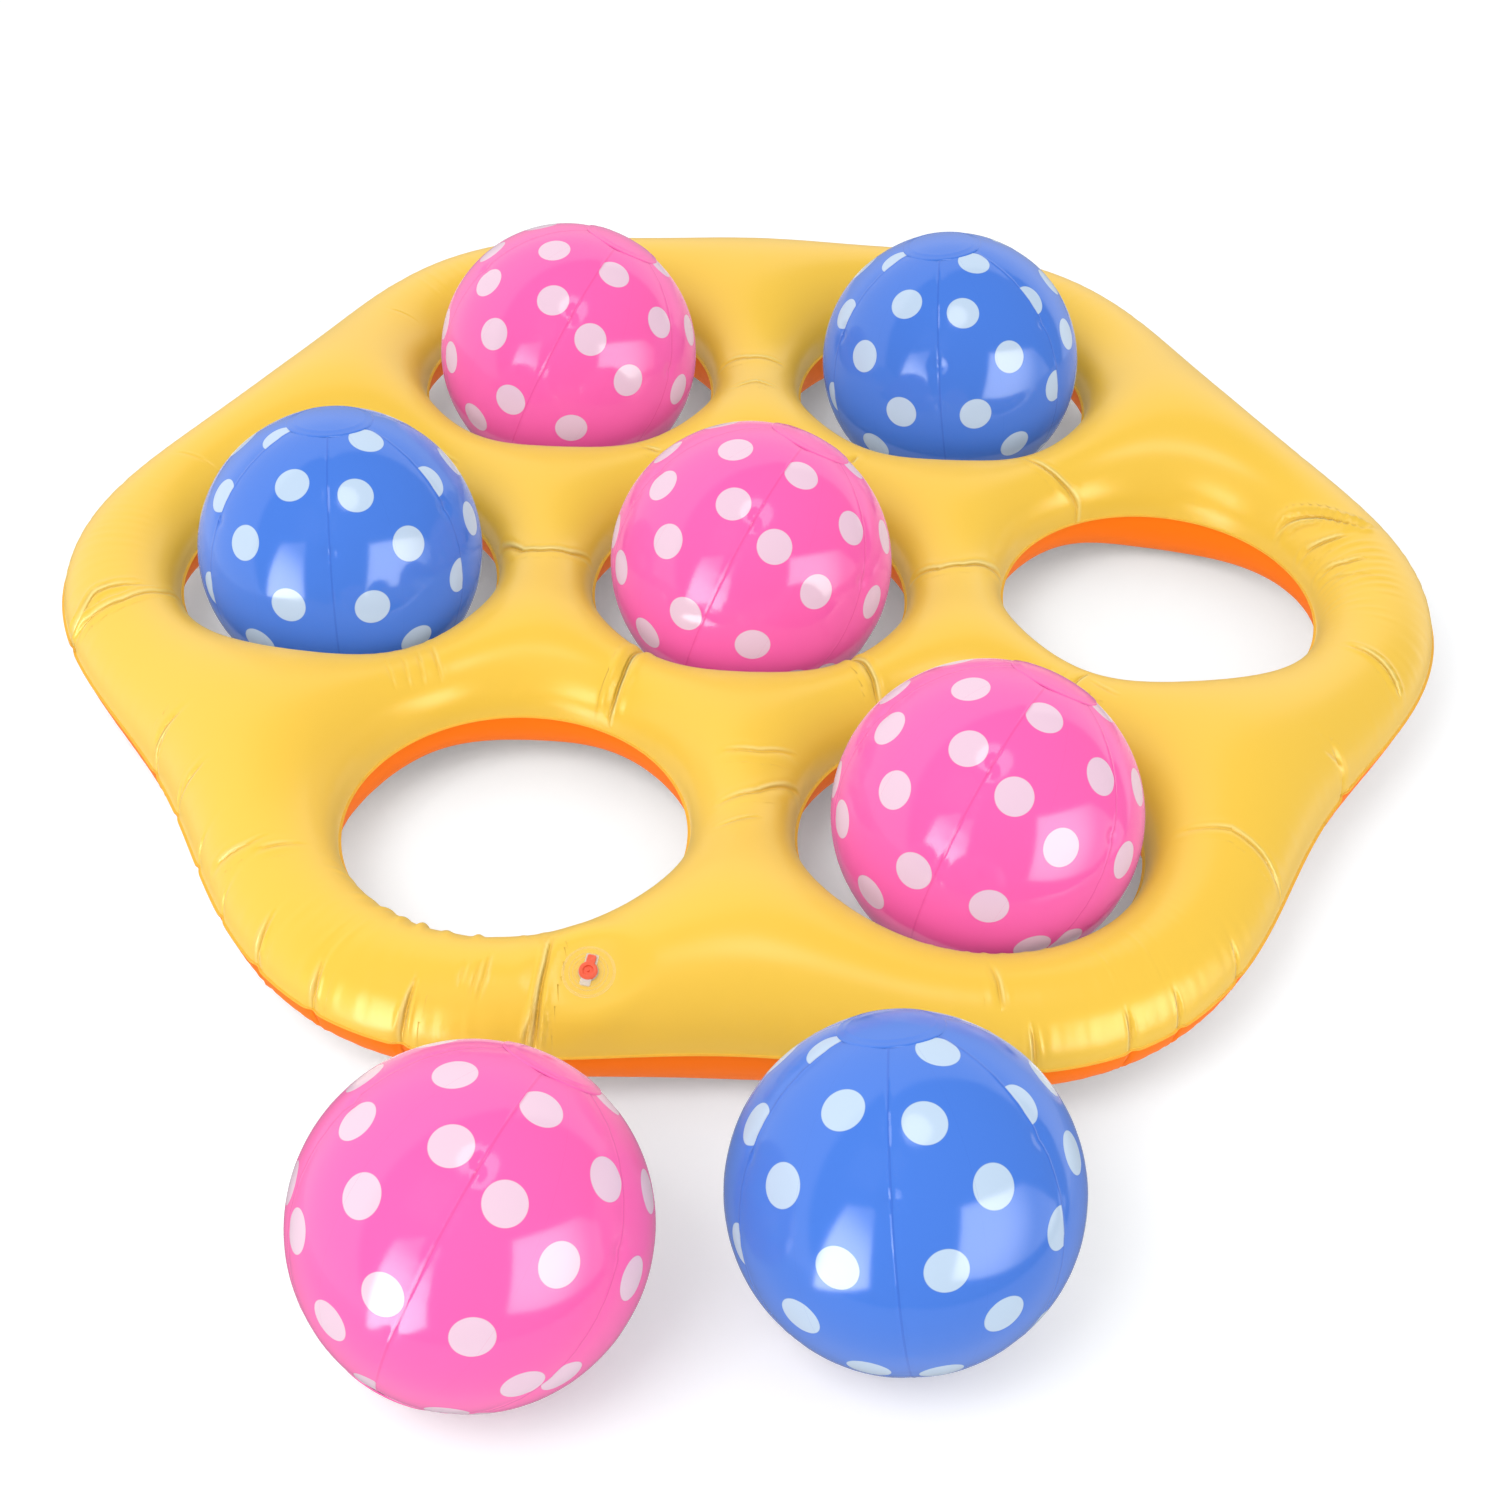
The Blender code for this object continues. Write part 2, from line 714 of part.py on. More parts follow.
def pole_disc_mesh(name, southern):
    """The disc over a pole: a low cone over the opening, and a margin along the skin's first band."""
    sides = ball_sides()
    opening, following = band_angle(0), band_angle(1)
    band_distance = BALL_RADIUS * math.cos((following - opening) / 2) * math.cos(math.pi / sides)
    scale = 1 + SEAT_GAP / band_distance
    first_radius = POLE_OPENING_RADIUS
    second_radius = BALL_RADIUS * math.sin(following)
    share = (POLE_DISC_RADIUS - first_radius) / (second_radius - first_radius)
    points = [Vector((0.0, 0.0, BALL_RADIUS * scale))]
    points += [sphere_point(opening, side) * scale for side in range(sides)]
    points += [
        sphere_point(opening, side).lerp(sphere_point(following, side), share) * scale for side in range(sides)
    ]
    faces = []
    for side in range(sides):
        beside = (side + 1) % sides
        faces.append((0, 1 + side, 1 + beside))
        faces.append((1 + side, 1 + sides + side, 1 + sides + beside, 1 + beside))
    if southern:
        points = [Vector((point.x, point.y, -point.z)) for point in points]
        faces = [face[::-1] for face in faces]
    return mesh_from(name, points, faces, BALL_SMOOTH_DEGREES)


def make_ball(name, colour, game, place, turn):
    """A ball whose lowest corner rests on the floor."""
    tilt, heading, spin = (math.radians(angle) for angle in turn)
    rotation = Matrix.Rotation(heading, 4, "Z") @ Matrix.Rotation(tilt, 4, "Y") @ Matrix.Rotation(spin, 4, "Z")
    ball = add_empty(name + "_ball", game, Matrix.Translation((*place, BALL_RADIUS)) @ rotation)
    skin = add_object(name + "_skin", skin_mesh(name + "_skin"), ball, colour, FILM_ROUGHNESS)
    add_wall(skin, BALL_WALL)
    discs = []
    for end, southern in (("top_disc", False), ("bottom_disc", True)):
        node = f"{name}_{end}"
        disc = add_object(node, pole_disc_mesh(node, southern), ball, colour, FILM_ROUGHNESS)
        add_wall(disc, POLE_DISC_WALL, outward=True)
        discs.append(disc)
    make_valve(name + "_valve", ball, ball_valve_frame(), BALL_FLANGE_RADIUS)
    low, _ = box_of([skin, *discs])
    ball.location.z -= low.z


def seated_place(direction, side, gap, seam):
    """Where a ball lies in its hole: towards one side, with this gap to the edge at the weld's height."""
    centre = np.zeros(2) if direction is None else polar(HOLE_PITCH, math.radians(direction))
    width_at_weld = math.sqrt(BALL_RADIUS**2 - (BALL_RADIUS - seam) ** 2)
    slack = HOLE_RADIUS - width_at_weld
    return centre + polar(max(slack - gap, 0), math.radians(side))


def loose_place(front_gap, balls_to_the_left):
    x = LOOSE_SIDE_SHARE * HOLE_PITCH + balls_to_the_left * (2 * BALL_RADIUS + LOOSE_SPACING)
    return np.array((x, -(VALLEY_REACH + front_gap + BALL_RADIUS)))


def box_of(objects):
    """Lowest and highest corner of the objects as they are evaluated."""
    bpy.context.view_layer.update()
    graph = bpy.context.evaluated_depsgraph_get()
    corners = []
    for obj in objects:
        evaluated = obj.evaluated_get(graph)
        mesh = evaluated.to_mesh()
        corners += [evaluated.matrix_world @ vertex.co for vertex in mesh.vertices]
        evaluated.to_mesh_clear()
    low = Vector(min(corner[axis] for corner in corners) for axis in range(3))
    high = Vector(max(corner[axis] for corner in corners) for axis in range(3))
    return low, high


def centre_on_origin(game):
    """Moves the whole game so that its box stands centred on the origin."""
    pieces = [obj for obj in bpy.data.objects if obj.type == "MESH" and not obj.hide_render]
    low, high = box_of(pieces)
    game.location.x -= (low.x + high.x) / 2
    game.location.y -= (low.y + high.y) / 2
    bpy.context.view_layer.update()


def main():
    clear_scene()
    game = add_empty("game")
    seam = make_bottom_sheet(game)
    frame = make_top_sheet(game, seam)
    make_valve("board_valve", game, frame, BOARD_FLANGE_RADIUS)
    for name, colour, direction, side, gap, turn in SEATED_BALLS:
        make_ball(name, colour, game, seated_place(direction, side, gap, seam), turn)
    for name, colour, front_gap, balls_to_the_left, turn in LOOSE_BALLS:
        make_ball(name, colour, game, loose_place(front_gap, balls_to_the_left), turn)
    centre_on_origin(game)


if __name__ == "__main__":
    main()
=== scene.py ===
"""Looks of an inflatable tic-tac-toe game, laid over its CAD frame.

The board is two vinyl films that are welded together along a six-lobed outline and round seven holes. Each film is
a fine grid whose height is solved from the weld plan, and then gets the folds, wrinkles and puckers of a blown-up
vinyl toy. The beach balls are gored skins with raised weld seams, printed dots and a round patch over both poles.
Every length is in metres, in the frame of the CAD, where nothing else is said.
"""

import logging
import math
from collections.abc import Callable, Sequence
from dataclasses import dataclass, field
from enum import Enum

import bpy
import numpy as np
from mathutils import Matrix, Vector


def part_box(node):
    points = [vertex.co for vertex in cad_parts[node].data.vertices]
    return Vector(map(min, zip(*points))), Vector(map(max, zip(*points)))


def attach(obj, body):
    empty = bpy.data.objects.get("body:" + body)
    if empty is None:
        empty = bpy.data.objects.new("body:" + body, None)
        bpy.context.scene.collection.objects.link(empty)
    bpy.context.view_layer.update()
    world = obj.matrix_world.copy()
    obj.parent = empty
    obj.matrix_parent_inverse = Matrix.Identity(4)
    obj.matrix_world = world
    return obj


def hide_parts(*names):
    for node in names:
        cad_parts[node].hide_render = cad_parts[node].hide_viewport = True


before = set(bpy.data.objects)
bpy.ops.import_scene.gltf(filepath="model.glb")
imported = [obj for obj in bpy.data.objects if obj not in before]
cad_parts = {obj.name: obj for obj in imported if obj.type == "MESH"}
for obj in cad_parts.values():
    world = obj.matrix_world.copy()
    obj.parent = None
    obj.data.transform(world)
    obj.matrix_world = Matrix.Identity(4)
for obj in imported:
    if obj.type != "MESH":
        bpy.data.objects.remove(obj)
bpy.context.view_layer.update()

LOG = logging.getLogger("game_looks")
MM = 0.001
TAU = 2 * math.pi
TINY = 1e-12
PALE = (0.80, 0.78, 0.76, 1.0)
WHITE = (1.0, 1.0, 1.0, 1.0)

Material = bpy.types.Material
Object = bpy.types.Object
Socket = bpy.types.NodeSocket
Given = Socket | float | tuple | Vector
Array = np.ndarray
Values = float | Array
Points = list[tuple]
Faces = list[tuple]


class Slot(Enum):
    """The record's material slots."""

    YELLOW = "yellow_film"
    ORANGE = "orange_film"
    PINK = "pink_film"
    BLUE = "blue_film"
    CLEAR = "clear_vinyl"
    RED = "red_vinyl"


class Side(Enum):
    """Which film of the board a mesh stands for."""

    TOP = 1
    BOTTOM = -1


# Small helpers


def polar(radius: Values, angle: Values) -> Array:
    """Plan points at a distance and a direction in radians, x and y in the last axis."""
    return np.stack((radius * np.cos(angle), radius * np.sin(angle)), axis=-1)


def direction(azimuth: float, elevation: float) -> Vector:
    """Unit vector of an azimuth and an elevation in degrees."""
    azimuth, elevation = math.radians(azimuth), math.radians(elevation)
    return Vector((*polar(math.cos(elevation), azimuth), math.sin(elevation)))


def wrapped(angle: Values) -> Values:
    """An angle in radians, between half a turn back and half a turn on."""
    return (angle + math.pi) % TAU - math.pi


def smooth(low: float, high: float, value: Values) -> Values:
    """Smooth step of a number or an array, from 0 at low to 1 at high."""
    share = np.clip((value - low) / (high - low), 0.0, 1.0)
    return share * share * (3.0 - 2.0 * share)


def bell(value: Values) -> Values:
    """Bell curve, 1 where the value is 0."""
    return np.exp(-(value**2))


def soft_min(first: Values, second: Values, width: float) -> Values:
    """The lesser of two values, with the change from one to the other rounded over a width."""
    return 0.5 * (first + second - np.sqrt((first - second) ** 2 + width**2))


def moved(matrix: Matrix, points: Array) -> Array:
    """Points, n by 3, moved by a matrix."""
    table = np.array(matrix)
    return points @ table[:3, :3].T + table[:3, 3]


def ring_quads(rows: Array) -> Array:
    """Quads between closed rows of point numbers, n by 4."""
    near, far = rows[:-1], rows[1:]
    return np.stack((near, far, np.roll(far, -1, axis=1), np.roll(near, -1, axis=1)), axis=-1).reshape(-1, 4)


def vertex_normals(points: Array, quads: Array) -> Array:
    """Normals of a quad mesh at its points.

    Args:
        points: Array of points, n by 3.
        quads: Array of point numbers, m by 4.

    Returns:
        Array of unit normals, n by 3.
    """
    cross = np.cross(points[quads[:, 2]] - points[quads[:, 0]], points[quads[:, 3]] - points[quads[:, 1]])
    normals = np.zeros_like(points)
    for corner in range(quads.shape[1]):
        for axis in range(3):
            normals[:, axis] += np.bincount(quads[:, corner], cross[:, axis], len(points))
    return normals / np.maximum(np.linalg.norm(normals, axis=1), TINY)[:, None]


def make_mesh(name: str, points: Sequence, faces: Sequence, sharp_degrees: float = 60.0) -> Object:
    """A smooth-shaded mesh object in the scene.

    Args:
        name: Name of the object and its mesh.
        points: Sequence of points.
        faces: Sequence of faces as point numbers.
        sharp_degrees: Edges steeper than this stay sharp.

    Returns:
        The new object.
    """
    mesh = bpy.data.meshes.new(name)
    mesh.from_pydata([tuple(map(float, point)) for point in points], [], [tuple(map(int, face)) for face in faces])
    mesh.shade_smooth()
    mesh.set_sharp_from_angle(angle=math.radians(sharp_degrees))
    piece = bpy.data.objects.new(name, mesh)
    bpy.context.scene.collection.objects.link(piece)
    LOG.info("%s: %d points, %d faces", name, len(points), len(faces))
    return piece


def add_values(piece: Object, name: str, values: Sequence, domain: str = "POINT") -> None:
    """Stores numbers or vectors on a mesh for its material.

    Args:
        piece: Mesh object.
        name: Name of the attribute.
        values: One number or vector per element of the domain.
        domain: POINT or FACE.
    """
    values = np.asarray(values, dtype=np.float32)
    kind, part = ("FLOAT_VECTOR", "vector") if values.ndim == 2 else ("FLOAT", "value")
    piece.data.attributes.new(name, kind, domain).data.foreach_set(part, values.ravel())


def dress(piece: Object, material: Material, slot: Slot, body: str, *nodes: str) -> None:
    """Gives a piece its material and its body, and hides the CAD nodes that it stands for.

    Args:
        piece: Object of the scene.
        material: Its material.
        slot: Its slot; not used.
        body: Name of the CAD body that it rides on.
        *nodes: CAD nodes that it replaces.
    """
    piece.data.materials.append(material)
    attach(piece, body)
    if nodes:
        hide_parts(*nodes)


# Shader nodes


class Nodes:
    """Adds nodes to one tree and feeds their sockets."""

    def __init__(self, tree: bpy.types.NodeTree) -> None:
        """Works on a tree of a material, a world or a group."""
        self.tree = tree

    def feed(self, socket: Socket, value: Given) -> None:
        """Links a socket, or sets its value.

        Args:
            socket: Input socket.
            value: Output socket, or a plain value.
        """
        if isinstance(value, Socket):
            self.tree.links.new(value, socket)
        else:
            socket.default_value = value

    def add(self, kind: str, settings: dict | None = None, **inputs: Given) -> bpy.types.Node:
        """A new node.

        Args:
            kind: Type name of the node.
            settings: Properties of the node by name.
            **inputs: Values or sockets by input name, with _ for a space.

        Returns:
            The node.
        """
        node = self.tree.nodes.new(kind)
        for name, value in (settings or {}).items():
            setattr(node, name, value)
        for name, value in inputs.items():
            self.feed(node.inputs[name.replace("_", " ")], value)
        return node

    def calculate(self, kind: str, operation: str, *values: Given) -> bpy.types.NodeOutputs:
        """Outputs of a node that calculates.

        Args:
            kind: Type name of the node.
            operation: Name of the operation.
            *values: Values or sockets in the order of the inputs.

        Returns:
            The node's outputs.
        """
        node = self.add(kind, {"operation": operation})
        for socket, value in zip(node.inputs, values):
            self.feed(socket, value)
        return node.outputs

    def math(self, operation: str, *values: Given) -> Socket:
        """Output of a Math node."""
        return self.calculate("ShaderNodeMath", operation, *values)[0]

    def dot(self, first: Given, second: Given) -> Socket:
        """Output of a dot product."""
        return self.calculate("ShaderNodeVectorMath", "DOT_PRODUCT", first, second)["Value"]

    def distance(self, first: Given, second: Given) -> Socket:
        """Output of the distance between two points."""
        return self.calculate("ShaderNodeVectorMath", "DISTANCE", first, second)["Value"]

    def times(self, first: Given, second: Given) -> Socket:
        """Output of a product."""
        return self.math("MULTIPLY", first, second)

    def inverse(self, value: Socket) -> Socket:
        """Output of 1 less a value."""
        return self.math("SUBTRACT", 1.0, value)

    def step(self, value: Socket, low: Given, high: Given) -> Socket:
        """Output that rises smoothly from 0 at low to 1 at high."""
        settings = {"interpolation_type": "SMOOTHSTEP"}
        return self.add("ShaderNodeMapRange", settings, Value=value, From_Min=low, From_Max=high).outputs["Result"]

    def noise(self, place: Socket, scale: Given, detail: float = 2.0) -> Socket:
        """Factor output of a 3-D noise texture."""
        return self.add("ShaderNodeTexNoise", Vector=place, Scale=scale, Detail=detail).outputs["Fac"]

    def mix(self, factor: Socket, first: Given, second: Given) -> Socket:
        """Output of a colour mix.

        Args:
            factor: Share of the second colour.
            first: A colour.
            second: Another colour.

        Returns:
            The colour output.
        """
        node = self.add("ShaderNodeMix", {"data_type": "RGBA"})
        sockets = {socket.identifier: socket for socket in (*node.inputs, *node.outputs)}
        for name, value in (("Factor_Float", factor), ("A_Color", first), ("B_Color", second)):
            self.feed(sockets[name], value)
        return sockets["Result_Color"]

    def tint(self, base: Given, mask: Socket, share: float, colour: Given) -> Socket:
        """Output of a base colour that takes on a share of another colour where a mask is 1."""
        return self.mix(self.times(mask, share), base, colour)

    def attribute(self, name: str, output: str = "Fac") -> Socket:
        """Output of a mesh attribute."""
        return self.add("ShaderNodeAttribute", {"attribute_name": name}).outputs[output]


class Surface(Nodes):
    """The nodes of a new material."""

    def __init__(self, name: str) -> None:
        """Starts a material.

        Args:
            name: Name of the material.
        """
        self.material = bpy.data.materials.new(name)
        self.material.use_nodes = True
        super().__init__(self.material.node_tree)

    def set(self, **inputs: Given) -> None:
        """Feeds the Principled BSDF by input name, with _ for a space."""
        for name, value in inputs.items():
            self.feed(self.tree.nodes["Principled BSDF"].inputs[name.replace("_", " ")], value)


class Effect(Nodes):
    """One shared shader node group, with named inputs and outputs."""

    KINDS = {float: "NodeSocketFloat", tuple: "NodeSocketColor", Vector: "NodeSocketVector"}

    def __init__(self, name: str, inputs: dict, outputs: dict) -> None:
        """Starts a group.

        Args:
            name: Name of the group.
            inputs: Default value by input name.
            outputs: Kind of value by output name: float, tuple for a colour, or Vector.
        """
        super().__init__(bpy.data.node_groups.new(name, "ShaderNodeTree"))
        face = self.tree.interface
        for label, default in inputs.items():
            socket = face.new_socket(label, in_out="INPUT", socket_type=self.KINDS[type(default)])
            socket.default_value = default
        for label, kind in outputs.items():
            face.new_socket(label, in_out="OUTPUT", socket_type=self.KINDS[kind])
        self.given = self.tree.nodes.new("NodeGroupInput").outputs
        self.result = self.tree.nodes.new("NodeGroupOutput").inputs

    def put(self, **outputs: Given) -> "Effect":
        """Feeds the group's outputs.

        Args:
            **outputs: Values or sockets by output name.

        Returns:
            The effect.
        """
        for name, value in outputs.items():
            self.feed(self.result[name], value)
        return self

    def use(self, nodes: Nodes, **inputs: Given) -> bpy.types.NodeOutputs:
        """Puts the group in a tree, with its inputs named with _ for a space, and gives its outputs."""
        return nodes.add("ShaderNodeGroup", {"node_tree": self.tree}, **inputs).outputs


class Effects:
    """The shader effects that several finishes share, each built once."""

    def __init__(self) -> None:
        """Builds all groups."""
        self.tone = self.build_tone()
        self.relief = self.build_relief()
        self.weld = self.build_weld()
        self.dots = self.build_dots()
        self.pinch = self.build_pinch()
        self.creases = self.build_creases()

    @staticmethod
    def build_tone() -> Effect:
        """Slow variation of a film's colour, as calendered vinyl has it.

        Returns:
            Effect with the output Colour.
        """
        effect = Effect(
            "film_tone", {"Colour": WHITE, "Place": Vector(), "Patch Scale": 6.0, "Amount": 0.03}, {"Colour": tuple}
        )
        given = effect.given
        slow = effect.noise(given["Place"], given["Patch Scale"], 3.0)
        swing = effect.times(effect.math("SUBTRACT", slow, 0.5), given["Amount"])
        value = effect.math("ADD", swing, 1.0)
        tinted = effect.add("ShaderNodeHueSaturation", Color=given["Colour"], Value=value)
        return effect.put(Colour=tinted.outputs["Color"])

    @staticmethod
    def build_relief() -> Effect:
        """Bump of a film: slow unevenness, fine grain and a height of the caller's own, all in metres.

        Returns:
            Effect with the outputs Normal and Grain.
        """
        effect = Effect(
            "film_relief",
            {
                "Place": Vector(),
                "Wave Scale": 18.0,
                "Wave Depth": 0.0002,
                "Grain Scale": 900.0,
                "Grain Depth": 0.000004,
                "Height": 0.0,
            },
            {"Normal": Vector, "Grain": float},
        )
        given = effect.given
        wave = effect.times(effect.noise(given["Place"], given["Wave Scale"], 1.0), given["Wave Depth"])
        grain = effect.noise(given["Place"], given["Grain Scale"], 1.0)
        fine = effect.times(grain, given["Grain Depth"])
        total = effect.math("ADD", effect.math("ADD", wave, fine), given["Height"])
        bump = effect.add("ShaderNodeBump", Strength=1.0, Distance=1.0, Height=total)
        return effect.put(Normal=bump.outputs["Normal"], Grain=grain)

    @staticmethod
    def build_weld() -> Effect:
        """The pressed band of a weld, with the fine ribs of the welding bar.

        Returns:
            Effect with the outputs Mask and Height.
        """
        effect = Effect(
            "weld_band",
            {"Distance": 0.0, "Along": 0.0, "Width": 0.005, "Rib Pitch": 0.0016, "Rib Depth": 0.00006},
            {"Mask": float, "Height": float},
        )
        given = effect.given
        away = effect.math("ABSOLUTE", given["Distance"])
        mask = effect.inverse(effect.step(away, effect.times(given["Width"], 0.8), given["Width"]))
        turn = effect.times(effect.math("DIVIDE", given["Along"], given["Rib Pitch"]), TAU)
        rib = effect.times(effect.math("SINE", turn), given["Rib Depth"])
        return effect.put(Mask=mask, Height=effect.times(rib, mask))

    @staticmethod
    def build_pinch() -> Effect:
        """Section of one pinched line: a sharp groove with a raised lip along one side.

        Returns:
            Effect with the outputs Height, Line and Lip; the board's finish paints shade along Line and highlights
            along Lip.
        """
        effect = Effect(
            "pinch_profile",
            {"Across": 0.0, "Depth": 0.0, "Half Width": 1.3},
            {"Height": float, "Line": float, "Lip": float},
        )
        given = effect.given
        across = effect.math("DIVIDE", given["Across"], given["Half Width"])
        groove = effect.math("EXPONENT", effect.times(effect.times(across, across), -1.0))
        off = effect.math("SUBTRACT", across, 2.0)
        lip = effect.math("EXPONENT", effect.times(effect.times(off, off), -0.9))
        shape = effect.math("SUBTRACT", effect.times(lip, 0.8), effect.times(groove, 0.9))
        strength = effect.step(given["Depth"], 0.0, 0.0016)
        return effect.put(
            Height=effect.times(shape, given["Depth"]),
            Line=effect.times(groove, strength),
            Lip=effect.times(lip, strength),
        )

    def build_creases(self) -> Effect:
        """Three sets of pinched lines, whose distances and depths the mesh carries.

        Returns:
            Effect with the outputs Height, Line and Lip.
        """
        effect = Effect(
            "film_creases",
            {"Across": Vector(), "Depth": Vector(), "Half Width": 1.3},
            {"Height": float, "Line": float, "Lip": float},
        )
        across = effect.add("ShaderNodeSeparateXYZ", Vector=effect.given["Across"]).outputs
        depth = effect.add("ShaderNodeSeparateXYZ", Vector=effect.given["Depth"]).outputs
        height, line, lip = 0.0, 0.0, 0.0
        for axis in "XYZ":
            one = self.pinch.use(
                effect, Across=across[axis], Depth=depth[axis], Half_Width=effect.given["Half Width"]
            )
            height = effect.math("ADD", one["Height"], height)
            line = effect.math("MAXIMUM", one["Line"], line)
            lip = effect.math("MAXIMUM", one["Lip"], lip)
        return effect.put(Height=height, Line=line, Lip=lip)

    @staticmethod
    def build_dots() -> Effect:
        """Round printed dots: inside a dot, and on the thin darker line where its ink ends.

        Returns:
            Effect with the outputs Dot and Line.
        """
        effect = Effect(
            "printed_dots",
            {"Place": Vector(), "Centre": Vector(), "Radius": 0.015, "Line": 0.0005, "Softness": 0.00025},
            {"Dot": float, "Line": float},
        )
        given = effect.given
        distance = effect.distance(given["Place"], given["Centre"])
        low = effect.math("SUBTRACT", given["Radius"], given["Softness"])
        high = effect.math("ADD", given["Radius"], given["Softness"])
        off = effect.math("ABSOLUTE", effect.math("SUBTRACT", distance, given["Radius"]))
        return effect.put(
            Dot=effect.inverse(effect.step(distance, low, high)),
            Line=effect.inverse(effect.step(off, 0.0, given["Line"])),
        )


# Finishes


@dataclass(frozen=True)
class FilmLight:
    """How a thin film answers light: paler in bounced and mirrored light, with a painted glow in its own colour that
    only the camera sees.
    """

    bounce_colour: tuple
    bounce_share: float = 0.92
    gloss_share: float = 0.75
    painted_glow: float = 0.15

    def apply(self, surface: Surface, colour: Socket) -> Socket:
        """Feeds a material's base colour and the strength of its painted glow, which only the camera sees.

        Args:
            surface: Nodes of the material.
            colour: Colour of the film.

        Returns:
            The base colour's output.
        """
        path = surface.add("ShaderNodeLightPath").outputs
        colour = surface.tint(colour, path["Is Diffuse Ray"], self.bounce_share, self.bounce_colour)
        colour = surface.tint(colour, path["Is Glossy Ray"], self.gloss_share, PALE)
        # Painted glow: only camera rays see the film give off light in its own colour.
        surface.set(Base_Color=colour, Emission_Strength=surface.times(path["Is Camera Ray"], self.painted_glow))
        return colour


@dataclass(frozen=True)
class BoardFilmFinish:
    """Glossy vinyl film of the board, with darker welds, painted shade along its fold lines and painted highlights on
    the lips beside them.
    """

    name: str
    slot: Slot
    colour: tuple
    weld_colour: tuple
    painted_crease_shade: tuple
    painted_lip_highlight: tuple
    light: FilmLight
    ior: float
    roughness: float
    smear: float = 0.06
    smear_scale: float = 11.0
    weld_width: float = 0.0022
    weld_share: float = 0.85
    weld_roughness: float = 0.25
    painted_crease_shade_share: float = 0.75
    painted_lip_highlight_share: float = 0.8
    patch_scale: float = 5.0
    patch_amount: float = 0.05
    wave_depth: float = 0.0003
    grain_depth: float = 0.000003

    def build(self, effects: Effects) -> Material:
        """Makes the material.

        Args:
            effects: The shared effects.

        Returns:
            The material.
        """
        surface = Surface(self.name)
        place = surface.attribute("rest_place", "Vector")
        tone = effects.tone.use(
            surface, Colour=self.colour, Place=place, Patch_Scale=self.patch_scale, Amount=self.patch_amount
        )
        weld = effects.weld.use(
            surface,
            Distance=surface.attribute("edge_distance"),
            Along=surface.attribute("weld_along"),
            Width=self.weld_width,
        )
        creases = effects.creases.use(
            surface,
            Across=surface.attribute("crease_across", "Vector"),
            Depth=surface.attribute("crease_depth", "Vector"),
        )
        relief = effects.relief.use(
            surface,
            Place=place,
            Wave_Depth=self.wave_depth,
            Grain_Depth=self.grain_depth,
            Height=surface.math("ADD", weld["Height"], creases["Height"]),
        )
        # Painted highlights on the fold lips and painted shade along the fold lines.
        colour = surface.tint(tone["Colour"], creases["Lip"], self.painted_lip_highlight_share, self.painted_lip_highlight)
        colour = surface.tint(colour, creases["Line"], self.painted_crease_shade_share, self.painted_crease_shade)
        colour = surface.tint(colour, weld["Mask"], self.weld_share, self.weld_colour)
        # The film light also paints a glow in the film's tone, which only the camera sees.
        self.light.apply(surface, colour)
        smear = surface.noise(place, self.smear_scale)
        rough = surface.math("MULTIPLY_ADD", smear, self.smear, self.roughness - self.smear / 2)
        rough = surface.math("MULTIPLY_ADD", weld["Mask"], self.weld_roughness, rough)
        surface.set(Roughness=rough, IOR=self.ior, Emission_Color=tone["Colour"], Normal=relief["Normal"])
        return surface.material


@dataclass(frozen=True)
class BallFilmFinish:
    """Glossy vinyl of a ball, with printed dots, darker weld seams and a painted glow that only the camera sees."""

    name: str
    slot: Slot
    colour: tuple
    dot_colour: tuple
    line_colour: tuple
    seam_colour: tuple
    light: FilmLight = FilmLight((0.72, 0.66, 0.68, 1.0), bounce_share=0.7, painted_glow=0.17)
    ior: float = 1.5
    roughness: float = 0.11
    grain_roughness: float = 0.03
    line_share: float = 0.5
    seam_width: float = 0.0011
    seam_share: float = 0.4
    patch_scale: float = 9.0
    patch_amount: float = 0.03
    wave_scale: float = 14.0
    wave_depth: float = 0.00012
    grain_depth: float = 0.000001

    def build(self, effects: Effects, dot_radius: float) -> Material:
        """Makes the material.

        Args:
            effects: The shared effects.
            dot_radius: Radius of a printed dot, or 0 for a plain film.

        Returns:
            The material.
        """
        surface = Surface(self.name if dot_radius else self.name + "_plain")
        place = surface.attribute("rest_place", "Vector")
        tone = effects.tone.use(
            surface, Colour=self.colour, Place=place, Patch_Scale=self.patch_scale, Amount=self.patch_amount
        )
        colour = tone["Colour"]
        if dot_radius:
            centre = surface.attribute("dot_centre", "Vector")
            dots = effects.dots.use(surface, Place=place, Centre=centre, Radius=dot_radius)
            colour = surface.mix(dots["Dot"], colour, self.dot_colour)
            colour = surface.tint(colour, dots["Line"], self.line_share, self.line_colour)
        seam = surface.math("ABSOLUTE", surface.attribute("seam_distance"))
        on_seam = surface.inverse(surface.step(seam, self.seam_width / 2, self.seam_width))
        colour = surface.tint(colour, on_seam, self.seam_share, self.seam_colour)
        relief = effects.relief.use(
            surface, Place=place, Wave_Scale=self.wave_scale, Wave_Depth=self.wave_depth, Grain_Depth=self.grain_depth
        )
        # Emission in the film's own colour, at the film light's camera-only strength, is a painted glow.
        surface.set(
            Emission_Color=self.light.apply(surface, colour),
            Roughness=surface.math("MULTIPLY_ADD", relief["Grain"], self.grain_roughness, self.roughness),
            IOR=self.ior,
            Normal=relief["Normal"],
        )
        return surface.material


